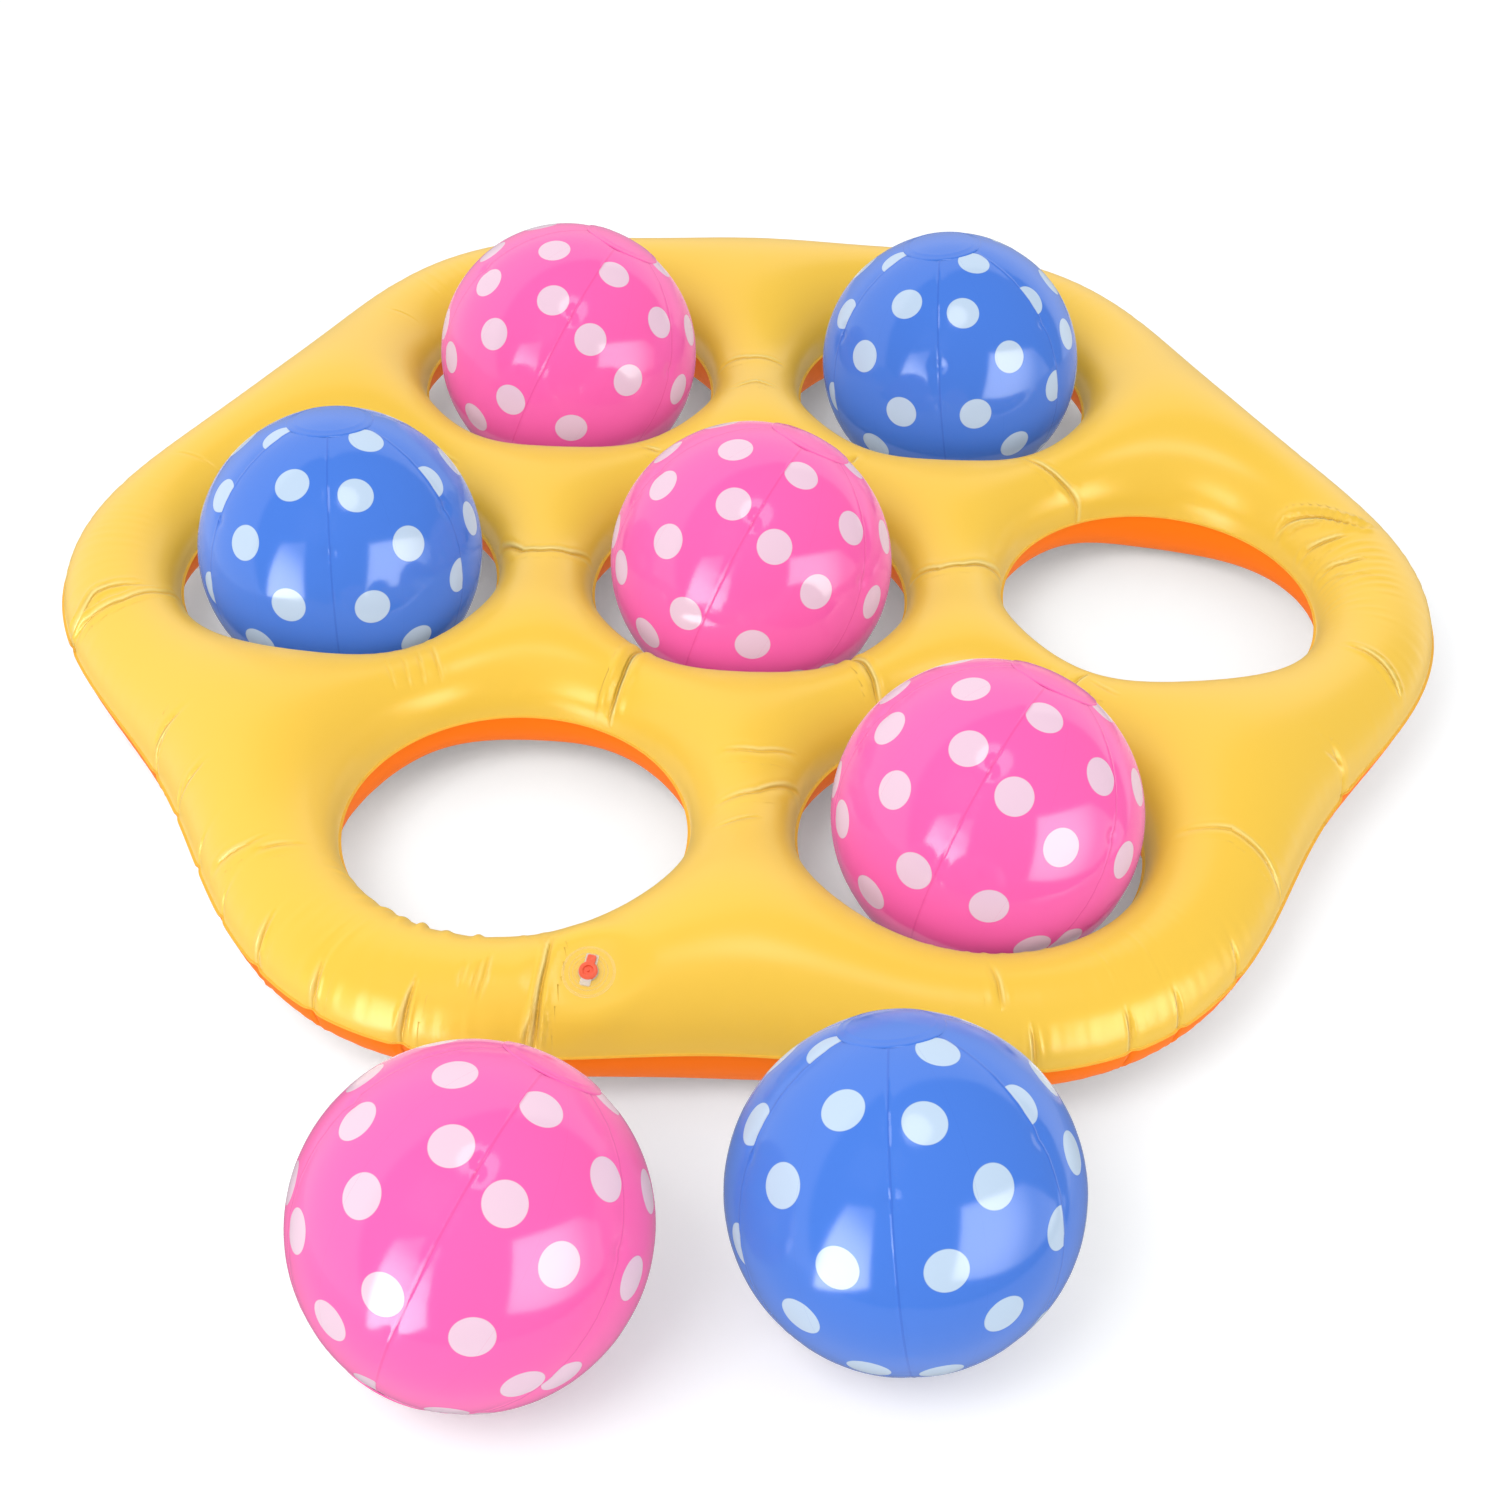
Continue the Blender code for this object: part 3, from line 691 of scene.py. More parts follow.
@dataclass(frozen=True)
class MouldedFinish:
    """Soft moulded vinyl of the valves, clear or coloured. A cover below 1 lets the film behind be seen."""

    name: str
    slot: Slot
    colour: tuple
    roughness: float
    thin_cover: float = 1.0
    thick_cover: float = 1.0
    passing_share: float = 0.8
    subsurface: float = 0.0
    subsurface_depth: float = 0.002
    ior: float = 1.46
    patch_scale: float = 160.0
    patch_amount: float = 0.05
    wave_scale: float = 220.0
    wave_depth: float = 0.00006
    grain_scale: float = 2500.0
    grain_depth: float = 0.00002
    grain_roughness: float = 0.08

    def build(self, effects: Effects) -> Material:
        """Makes the material.

        Args:
            effects: The shared effects.

        Returns:
            The material.
        """
        surface = Surface(self.name)
        place = surface.add("ShaderNodeTexCoord").outputs["Object"]
        tone = effects.tone.use(
            surface, Colour=self.colour, Place=place, Patch_Scale=self.patch_scale, Amount=self.patch_amount
        )
        relief = effects.relief.use(
            surface,
            Place=place,
            Wave_Scale=self.wave_scale,
            Wave_Depth=self.wave_depth,
            Grain_Scale=self.grain_scale,
            Grain_Depth=self.grain_depth,
        )
        surface.set(
            Base_Color=tone["Colour"],
            Normal=relief["Normal"],
            Roughness=surface.math("MULTIPLY_ADD", relief["Grain"], self.grain_roughness, self.roughness),
            Subsurface_Weight=self.subsurface,
            Subsurface_Scale=self.subsurface_depth,
            IOR=self.ior,
        )
        if self.thin_cover < 1.0:
            path = surface.add("ShaderNodeLightPath").outputs
            passing = surface.math("MAXIMUM", path["Is Shadow Ray"], path["Is Diffuse Ray"])
            more = self.thick_cover - self.thin_cover
            cover = surface.math("MULTIPLY_ADD", surface.attribute("thickness"), more, self.thin_cover)
            surface.set(Alpha=surface.times(cover, surface.math("MULTIPLY_ADD", passing, -self.passing_share, 1.0)))
        return surface.material


# The board's plan


@dataclass(frozen=True)
class BoardSizes:
    """Sizes of the board, as in the CAD. The weld shows as a narrow band, because its inner side bulges."""

    lobes: int = 6
    hole_pitch: float = 0.365
    hole_radius: float = 0.1383
    lobe_reach: float = 0.6092
    valley_reach: float = 0.5497
    weld_width: float = 0.0024
    seam_height: float = 0.0723
    film_gap: float = 0.0011
    floor_rounding: float = 0.003
    floor_sink: float = 0.25
    floor_fade: float = 0.03
    flange_radius: float = 0.020


@dataclass(frozen=True)
class GridSizes:
    """How finely a film is divided: columns per stretch of a weld, and rows from weld to crest."""

    rim: tuple
    side: int
    inner: int
    rows: int


@dataclass
class Strip:
    """The rows of one weld: the cut edge, the weld, the rows up to the crest."""

    rows: Array
    inward: bool


class BoardPlan:
    """Grid of a film in the plan, with the board's centre as origin.

    Every weld carries rows that end on the crest line, which it shares with its neighbours.
    """

    FINE_STEPS = 4001
    DART_DENSITY = 2.4
    DART_SPREAD = math.radians(0.75)
    END_POWER = 6

    def __init__(self, sizes: BoardSizes, grid: GridSizes) -> None:
        """Lays the crest lines and the rows of every weld.

        Args:
            sizes: Sizes of the board.
            grid: How finely the film is divided.
        """
        self.sizes = sizes
        self.grid = grid
        self.places = []
        self.count = 0
        self.strips = []
        self.lay_crests()
        self.lay_strips()
        self.points = np.vstack(self.places)
        self.quads = np.vstack([self.strip_quads(strip) for strip in self.strips])
        self.mark_welds()

    def outline(self, angle: Values) -> Values:
        """Reach of the outline in a direction."""
        swing = (self.sizes.lobe_reach - self.sizes.valley_reach) / 2
        return self.sizes.valley_reach + swing * (1 + np.cos(self.sizes.lobes * angle))

    def hole_centre(self, lobe: int) -> Array:
        """Centre of an outer hole."""
        return polar(self.sizes.hole_pitch, TAU * lobe / self.sizes.lobes)

    def inner_corner(self, lobe: int) -> Array:
        """Point between the middle hole and two outer holes."""
        half = math.pi / self.sizes.lobes
        return polar(self.sizes.hole_pitch / (2 * math.cos(half)), (2 * lobe + 1) * half)

    def valley_corner(self, lobe: int) -> Array:
        """Point between two outer holes and the outline's valley.

        Args:
            lobe: Number of the lobe before it.

        Returns:
            Plan point.
        """
        half = math.pi / self.sizes.lobes
        reach = self.sizes.valley_reach + self.sizes.hole_radius
        pitch = self.sizes.hole_pitch
        return polar((reach**2 - pitch**2) / (2 * (reach - pitch * math.cos(half))), (2 * lobe + 1) * half)

    def add(self, places: Array) -> Array:
        """Adds points and returns their numbers.

        Args:
            places: Plan points, n by 2, or one point.

        Returns:
            Their numbers.
        """
        places = np.atleast_2d(places)
        numbers = np.arange(self.count, self.count + len(places))
        self.places.append(places)
        self.count += len(places)
        return numbers

    def between(self, start: Array, end: Array, steps: int) -> Array:
        """Numbers of new points that cut a line into equal steps, without its ends."""
        shares = np.arange(1, steps)[:, None] / steps
        return self.add(start + (end - start) * shares)

    def rim_shares(self, middle: float, steps: int) -> Array:
        """Shares from -1 to 1 across a lobe, closer together at the darts.

        Args:
            middle: Direction of the lobe in radians.
            steps: How many columns cross it.

        Returns:
            Array of shares.
        """
        fine = np.linspace(-1.0, 1.0, self.FINE_STEPS)
        angles = middle + fine * math.pi / self.sizes.lobes
        density = np.ones_like(fine)
        for dart in DARTS:
            density += self.DART_DENSITY * bell(wrapped(angles - math.radians(dart.degrees)) / self.DART_SPREAD)
        total = np.concatenate(((0.0,), np.cumsum((density[1:] + density[:-1]) / 2)))
        shares = np.interp(np.linspace(0.0, total[-1], steps + 1), total, fine)
        shares[0], shares[-1] = -1.0, 1.0
        return shares

    def rim_crest(self, lobe: int, steps: int) -> tuple[Array, Array]:
        """The crest of the outer tube round one lobe.

        Args:
            lobe: Number of the lobe.
            steps: How many columns cross it.

        Returns:
            Crest points, and the outline's directions across from them in radians.
        """
        centre = self.hole_centre(lobe)
        middle = TAU * lobe / self.sizes.lobes
        corner = self.valley_corner(lobe) - centre
        half_turn = wrapped(math.atan2(corner[1], corner[0]) - middle)
        shares = self.rim_shares(middle, steps)
        angles = middle + shares * math.pi / self.sizes.lobes
        edge = centre + polar(self.sizes.hole_radius, middle + shares * half_turn)
        crest = (edge + polar(self.outline(angles), angles)) / 2
        ends = np.array((self.valley_corner(lobe - 1) - crest[0], self.valley_corner(lobe) - crest[-1]))
        near_end = np.abs(shares)[:, None] ** self.END_POWER
        return crest + near_end * np.where(shares[:, None] < 0, ends[0], ends[1]), angles

    def lay_crests(self) -> None:
        """Numbers the crest lines: round the lobes, between outer holes, and round the middle hole."""
        lobes = range(self.sizes.lobes)
        valley = [int(self.add(self.valley_corner(lobe))[0]) for lobe in lobes]
        inner = [int(self.add(self.inner_corner(lobe))[0]) for lobe in lobes]
        self.rim, self.rim_angles, self.side, self.ring = [], [], [], []
        for lobe in lobes:
            crest, angles = self.rim_crest(lobe, self.grid.rim[lobe])
            self.rim.append([valley[lobe - 1], *self.add(crest[1:-1]), valley[lobe]])
            self.rim_angles.append(angles)
            side = self.between(self.valley_corner(lobe), self.inner_corner(lobe), self.grid.side)
            self.side.append([valley[lobe], *side, inner[lobe]])
            ring = self.between(self.inner_corner(lobe - 1), self.inner_corner(lobe), self.grid.inner)
            self.ring.append([inner[lobe - 1], *ring, inner[lobe]])

    def lay_strips(self) -> None:
        """Adds the rows of every weld."""
        for lobe in range(self.sizes.lobes):
            loop = self.rim[lobe] + self.side[lobe][1:] + self.ring[lobe][::-1][1:] + self.side[lobe - 1][::-1][1:-1]
            self.lay_hole(self.hole_centre(lobe), loop)
        self.lay_hole(np.zeros(2), [number for ring in self.ring for number in ring[:-1]])
        loop = [number for rim in self.rim for number in rim[:-1]]
        angles = np.concatenate([angles[:-1] for angles in self.rim_angles])
        edges = polar(self.outline(angles), angles)
        welds = polar(self.outline(angles) - self.sizes.weld_width, angles)
        self.lay_strip(edges, welds, loop, inward=True)

    def lay_hole(self, centre: Array, loop: list[int]) -> None:
        """Rows of a hole's weld.

        Args:
            centre: The hole's centre.
            loop: Numbers of the crest points round it.
        """
        crest = np.vstack(self.places)[loop]
        way = (crest - centre) / np.linalg.norm(crest - centre, axis=1)[:, None]
        edges = centre + way * self.sizes.hole_radius
        welds = centre + way * (self.sizes.hole_radius + self.sizes.weld_width)
        self.lay_strip(edges, welds, loop, inward=False)

    def lay_strip(self, edges: Array, welds: Array, loop: list[int], inward: bool) -> None:
        """Rows from a cut edge over its weld to a loop of crest points.

        Args:
            edges: Points of the cut edge.
            welds: Points of the weld's inner side.
            loop: Numbers of the crest points.
            inward: Whether the rows run towards the board's centre.
        """
        crest = np.vstack(self.places)[loop]
        rows = [self.add(edges), self.add(welds)]
        for row in range(1, self.grid.rows):
            share = 1 - math.cos(math.pi / 2 * row / self.grid.rows)
            rows.append(self.add(welds + (crest - welds) * share))
        rows.append(np.array(loop))
        self.strips.append(Strip(np.array(rows), inward))

    @staticmethod
    def strip_quads(strip: Strip) -> Array:
        """Quads of a strip, facing up."""
        quads = ring_quads(strip.rows)
        return quads[:, ::-1] if strip.inward else quads

    def mark_welds(self) -> None:
        """Stores which points are welded, and each point's distance to its weld and place along it."""
        self.welded = np.zeros(self.count, bool)
        self.on_edge = np.zeros(self.count, bool)
        self.distance = np.full(self.count, np.inf)
        self.along = np.zeros(self.count)
        self.from_outline = np.full(self.count, np.inf)
        for strip in self.strips:
            edge, weld = self.points[strip.rows[0]], self.points[strip.rows[1]]
            steps = np.linalg.norm(np.diff(weld, axis=0, append=weld[:1]), axis=1)
            along = np.cumsum(steps) - steps
            self.welded[strip.rows[:2].ravel()] = True
            self.on_edge[strip.rows[0]] = True
            for row in strip.rows:
                reach = np.linalg.norm(self.points[row] - weld, axis=1)
                nearer = reach < self.distance[row]
                self.distance[row] = np.where(nearer, reach, self.distance[row])
                self.along[row] = np.where(nearer, along, self.along[row])
                if strip.inward:
                    self.from_outline[row] = np.linalg.norm(self.points[row] - edge, axis=1)


class Inflation:
    """Height of a film that air lifts from its welds.

    The square of the height has a Laplacian of -2 and is zero on the welds, which makes a strip between two
    straight welds a round tube.
    """

    LEAST_STEP = 1e-7
    MOST_STEPS = 1500
    LEAST_AREA = 1e-14
    TRIANGLES = ((0, 1, 2), (0, 2, 3), (0, 1, 3), (1, 2, 3))

    def __init__(self, points: Array, quads: Array, welded: Array) -> None:
        """Sets up the weights of neighbouring points, as the mean of both ways to cut the quads in triangles.

        Args:
            points: Plan points, n by 2.
            quads: Point numbers, m by 4.
            welded: True for each point that stays down.
        """
        self.count = len(points)
        self.free = ~welded
        self.load = np.zeros(self.count)
        starts, ends, weights = [], [], []
        for corners in self.TRIANGLES:
            triangles = quads[:, corners]
            places = points[triangles]
            one, two = places[:, 1] - places[:, 0], places[:, 2] - places[:, 0]
            area = np.maximum(np.abs(one[:, 0] * two[:, 1] - one[:, 1] * two[:, 0]) / 2, self.LEAST_AREA)
            for turn in range(3):
                here, left, right = (triangles[:, (turn + step) % 3] for step in range(3))
                first, second = points[left] - points[here], points[right] - points[here]
                weights.append((first * second).sum(axis=1) / (8 * area))
                starts.append(left)
                ends.append(right)
                self.load += np.bincount(here, area / 3, self.count)
        self.join_pairs(np.concatenate(starts), np.concatenate(ends), np.concatenate(weights))

    def join_pairs(self, starts: Array, ends: Array, weights: Array) -> None:
        """Adds up the weights of equal pairs of points.

        Args:
            starts: Number of each pair's first point.
            ends: Number of each pair's second point.
            weights: Weight of each pair.
        """
        pairs = np.minimum(starts, ends) * self.count + np.maximum(starts, ends)
        unique, place = np.unique(pairs, return_inverse=True)
        self.weights = np.bincount(place, weights)
        self.starts, self.ends = unique // self.count, unique % self.count
        self.diagonal = np.bincount(self.starts, self.weights, self.count)
        self.diagonal += np.bincount(self.ends, self.weights, self.count)

    def spread(self, values: Array) -> Array:
        """The stiffness times a field.

        Args:
            values: One number per point.

        Returns:
            One number per point.
        """
        near = np.bincount(self.starts, self.weights * values[self.ends], self.count)
        near += np.bincount(self.ends, self.weights * values[self.starts], self.count)
        return np.where(self.free, self.diagonal * values - near, 0.0)

    def solve(self, guess: Array) -> Array:
        """Heights by conjugate gradients.

        Args:
            guess: First guess of the squared heights.

        Returns:
            The heights.
        """
        squares = np.where(self.free, guess, 0.0)
        scale = np.where(self.free & (self.diagonal > 0), 1 / np.maximum(self.diagonal, TINY), 0.0)
        rest = np.where(self.free, self.load, 0.0) - self.spread(squares)
        way = scale * rest
        energy = rest @ way
        for step in range(self.MOST_STEPS):
            pushed = self.spread(way)
            length = energy / (way @ pushed)
            squares += length * way
            rest -= length * pushed
            if np.abs(length * way).max() < self.LEAST_STEP:
                break
            eased = scale * rest
            following = rest @ eased
            way = eased + way * (following / energy)
            energy = following
        LOG.info("inflation solved in %d steps", step + 1)
        return np.sqrt(np.maximum(squares, 0.0))


# Folds of the board's film

LIP_PLACE = 1.9
CREASE_REACH = 13.0
CREASES_APART = 27.0
CREASE_SETS = 3


def fold_section(across: Array, lip: float, spread: float) -> Array:
    """Section of a fold: a groove of depth 1 with a lip beside it."""
    return lip * np.exp(-((across - LIP_PLACE) ** 2) / spread) - bell(across)


@dataclass(frozen=True)
class Crease:
    """A pinched fold along a line of plan points in millimetres, from the board's centre."""

    line: tuple
    depth: float
    half_width: float = 3.0
    lip: float = 0.35
    start: float = 1.0
    end: float = 0.0
    sharpness: float = 0.75

    LIP_SPREAD = 0.7
    FIRST = 0.6
    RUN_IN = 0.15
    RUN_OUT = 0.12

    def nearest(self, places: Array, reach: float) -> tuple[Array, Array, Array]:
        """The line's nearest point for each place near it.

        Args:
            places: Plan points in millimetres.
            reach: How far from the line places are looked at, in millimetres.

        Returns:
            Point numbers near the line, their signed distances in millimetres and shares of the line's length.
        """
        line = np.array(self.line, float)
        steps = np.linalg.norm(np.diff(line, axis=0), axis=1)
        starts = np.concatenate(((0.0,), np.cumsum(steps)))
        low, high = line.min(axis=0) - reach, line.max(axis=0) + reach
        near = np.flatnonzero(((places > low) & (places < high)).all(axis=1))
        here = places[near]
        best, signed, share = np.full(len(here), np.inf), np.zeros(len(here)), np.zeros(len(here))
        for number, step in enumerate(steps):
            way = (line[number + 1] - line[number]) / step
            held = np.clip((here - line[number]) @ way, 0.0, step)
            away = np.linalg.norm(here - line[number] - held[:, None] * way, axis=1)
            side = (here - line[number]) @ np.array((-way[1], way[0]))
            nearer = away < best
            best = np.where(nearer, away, best)
            signed = np.where(nearer, np.sign(side) * away, signed)
            share = np.where(nearer, (starts[number] + held) / starts[-1], share)
        return near, signed, share

    def depth_at(self, share: Array) -> Array:
        """Depth at shares of the line's length."""
        return self.depth * (self.start + (self.end - self.start) * share)

    def shift(self, places: Array) -> Array:
        """How far the fold moves the film outward.

        Args:
            places: Plan points in millimetres.

        Returns:
            Array of millimetres, negative in the groove.
        """
        near, signed, share = self.nearest(places, 4 * self.half_width)
        depth = self.depth_at(share) * smooth(0.0, self.RUN_OUT, 1.0 - share)
        depth = depth * (self.FIRST + (1.0 - self.FIRST) * smooth(0.0, self.RUN_IN, share))
        result = np.zeros(len(places))
        result[near] = depth * fold_section(np.abs(signed) / self.half_width, self.lip, self.LIP_SPREAD)
        return result

    def measure(self, places: Array) -> tuple[Array, Array, Array]:
        """Signed distance to the line and the depth of its sharp groove.

        Args:
            places: Plan points in millimetres.

        Returns:
            Point numbers near the line, their signed distances in millimetres and depths in metres.
        """
        near, signed, share = self.nearest(places, CREASE_REACH)
        depth = self.depth_at(share) * np.sin(np.pi * np.clip(share, 0, 1)) ** 0.5
        return near, signed, self.sharpness * MM * depth * smooth(CREASE_REACH, 0.6 * CREASE_REACH, np.abs(signed))

    def fine_line(self) -> Array:
        """Ends and middles of the line's stretches."""
        line = np.array(self.line, float)
        return np.vstack([a + (b - a) * share for a, b in zip(line, line[1:]) for share in (0.0, 0.5, 1.0)])

    def gap(self, other: "Crease") -> float:
        """Least distance to another crease in millimetres."""
        return np.linalg.norm(self.fine_line()[:, None] - other.fine_line()[None], axis=2).min()


def sort_creases(creases: Sequence[Crease]) -> list[list[Crease]]:
    """Spreads creases over a few sets, so that those of one set lie well apart.

    Args:
        creases: The creases.

    Returns:
        One list of creases for each set.
    """
    result = [[] for _ in range(CREASE_SETS)]
    for crease in sorted(creases, key=lambda one: -one.depth):
        room = [min([crease.gap(other) for other in chosen], default=math.inf) for chosen in result]
        fitting = [number for number, gap in enumerate(room) if gap >= CREASES_APART]
        result[fitting[0] if fitting else int(np.argmax(room))].append(crease)
    return result


def crease_fields(creases: Sequence[Crease], places: Array) -> tuple[Array, Array]:
    """What the material needs to draw the creases.

    Args:
        creases: The creases.
        places: Plan points in millimetres.

    Returns:
        Signed distances in millimetres and depths in metres, with one column for each set.
    """
    across, depth = np.full((len(places), CREASE_SETS), CREASE_REACH), np.zeros((len(places), CREASE_SETS))
    for number, chosen in enumerate(sort_creases(creases)):
        for crease in chosen:
            near, signed, deep = crease.measure(places)
            closer = np.abs(signed) < np.abs(across[near, number])
            across[near[closer], number] = signed[closer]
            depth[near[closer], number] = deep[closer]
    return across, depth


@dataclass(frozen=True)
class Ripples:
    """Fine parallel wrinkles that run out from one centre, inside a window of reach and direction."""

    centre: tuple
    reach: tuple
    directions: tuple
    pitch: float
    depth: float
    wander: float = 0.5

    FADE = 0.3

    def shift(self, places: Array) -> Array:
        """How far the wrinkles move the film outward, with slow waves that bend them and vary their strength.

        Args:
            places: Plan points in millimetres.

        Returns:
            Array of millimetres.
        """
        away = places - np.array(self.centre, float)
        reach = np.hypot(away[:, 0], away[:, 1])
        middle = math.radians(sum(self.directions) / 2)
        turn = wrapped(np.arctan2(away[:, 1], away[:, 0]) - middle)
        half = math.radians(abs(self.directions[1] - self.directions[0])) / 2
        arc = turn * sum(self.reach) / 2
        bend = self.wander * (3.0 * np.sin(reach / 17.0 + arc / 31.0) + 2.2 * np.sin(arc / 13.0 + 0.7))
        wave = np.sin(TAU * arc / self.pitch + bend)
        sharp = 1.6 * np.maximum(wave, 0.0) ** 1.6 - 0.5
        first, last = self.reach
        edge = self.FADE * (last - first)
        window = smooth(first, first + edge, reach) * smooth(last, last - edge, reach)
        fade = smooth(half, 0.5 * half, np.abs(turn))
        strength = np.clip(0.6 + 0.45 * np.sin(arc / 23.0 + 1.3) + 0.4 * np.sin(reach / 11.0 + arc / 7.0), 0.0, 1.3)
        return self.depth * sharp * window * fade * strength


@dataclass(frozen=True)
class Dart:
    """A pinch at the outline, where the film's spare length is gathered."""

    degrees: float
    length: float
    depth: float
    half_width: float = 2.1
    notch: float = 1.6

    LIP = 0.7
    LIP_SPREAD = 0.6
    NOTCH_FADE = 14.0

    def crease(self, outline: Callable[[float], float]) -> Crease:
        """The dart's sharp line, from the outline inward.

        Args:
            outline: Function that gives the outline's reach in metres for a direction in radians.

        Returns:
            A Crease.
        """
        turn = math.radians(self.degrees)
        edge = float(outline(turn)) / MM
        line = tuple(tuple(polar(edge - step, turn)) for step in (1.0, 0.4 * self.length, 0.8 * self.length))
        return Crease(line, 0.6 * self.depth, start=1.4, end=0.3)

    def split(self, places: Array) -> tuple[Array, Array]:
        """Whether places lie on the dart's side of the board, and their distances to its line in millimetres.

        Args:
            places: Plan points in millimetres.

        Returns:
            Array of truth values and array of millimetres.
        """
        turn = math.radians(self.degrees)
        ahead = places @ np.array((math.cos(turn), math.sin(turn))) > 0
        return ahead, np.abs(places @ np.array((-math.sin(turn), math.cos(turn))))

    def shift(self, places: Array, from_outline: Array) -> Array:
        """How far the dart moves the film outward.

        Args:
            places: Plan points in millimetres.
            from_outline: Their distances from the outline in millimetres.

        Returns:
            Array of millimetres.
        """
        ahead, away = self.split(places)
        share = from_outline / self.length
        across = away / (self.half_width * (1.15 - 0.5 * np.clip(share, 0, 1)))
        depth = 0.75 * self.depth * smooth(0.9, 0.15, share)
        groove = depth * fold_section(across, self.LIP, self.LIP_SPREAD)
        return np.where(ahead & np.isfinite(share), groove, 0.0)

    def pull(self, places: Array, from_outline: Array) -> Array:
        """How far the dart draws the outline in.

        Args:
            places: Plan points in millimetres.
            from_outline: Their distances from the outline in millimetres.

        Returns:
            Array of millimetres.
        """
        ahead, away = self.split(places)
        pulled = self.notch * bell(away / (2.2 * self.half_width)) * np.exp(-from_outline / self.NOTCH_FADE)
        return np.where(ahead, pulled, 0.0)


@dataclass(frozen=True)
class Puckers:
    """Small waves along the outline's weld, stronger round the lobes than in the valleys."""

    depth: float = 0.55
    fade: float = 13.0
    pitches: tuple = (17.0, 26.0, 11.0)

    def shift(self, plan: BoardPlan) -> Array:
        """How far the waves move the film outward.

        Args:
            plan: Grid of the film.

        Returns:
            Array of millimetres.
        """
        along = plan.along / MM
        first, second, third = (TAU * along / pitch for pitch in self.pitches)
        wave = 0.5 * np.sin(first + 2 * np.sin(along / 61.0)) + 0.35 * np.sin(second + 1.7) + 0.3 * np.sin(third)
        angle = np.arctan2(plan.points[:, 1], plan.points[:, 0])
        lobe = 0.25 + 0.75 * (0.5 + 0.5 * np.cos(plan.sizes.lobes * angle))
        depth = np.exp(-plan.from_outline / MM / self.fade) * smooth(0.0, 4.0, plan.distance / MM)
        return self.depth * wave * lobe * np.where(np.isfinite(plan.from_outline), depth, 0.0)


HOLE_RIGHT = (365.0, 0.0)
HOLE_BACK_RIGHT = (182.5, 316.1)
HOLE_BACK_LEFT = (-182.5, 316.1)
HOLE_LEFT = (-365.0, 0.0)
HOLE_FRONT_LEFT = (-182.5, -316.1)
HOLE_FRONT_RIGHT = (182.5, -316.1)
MIDDLE = (0.0, 0.0)

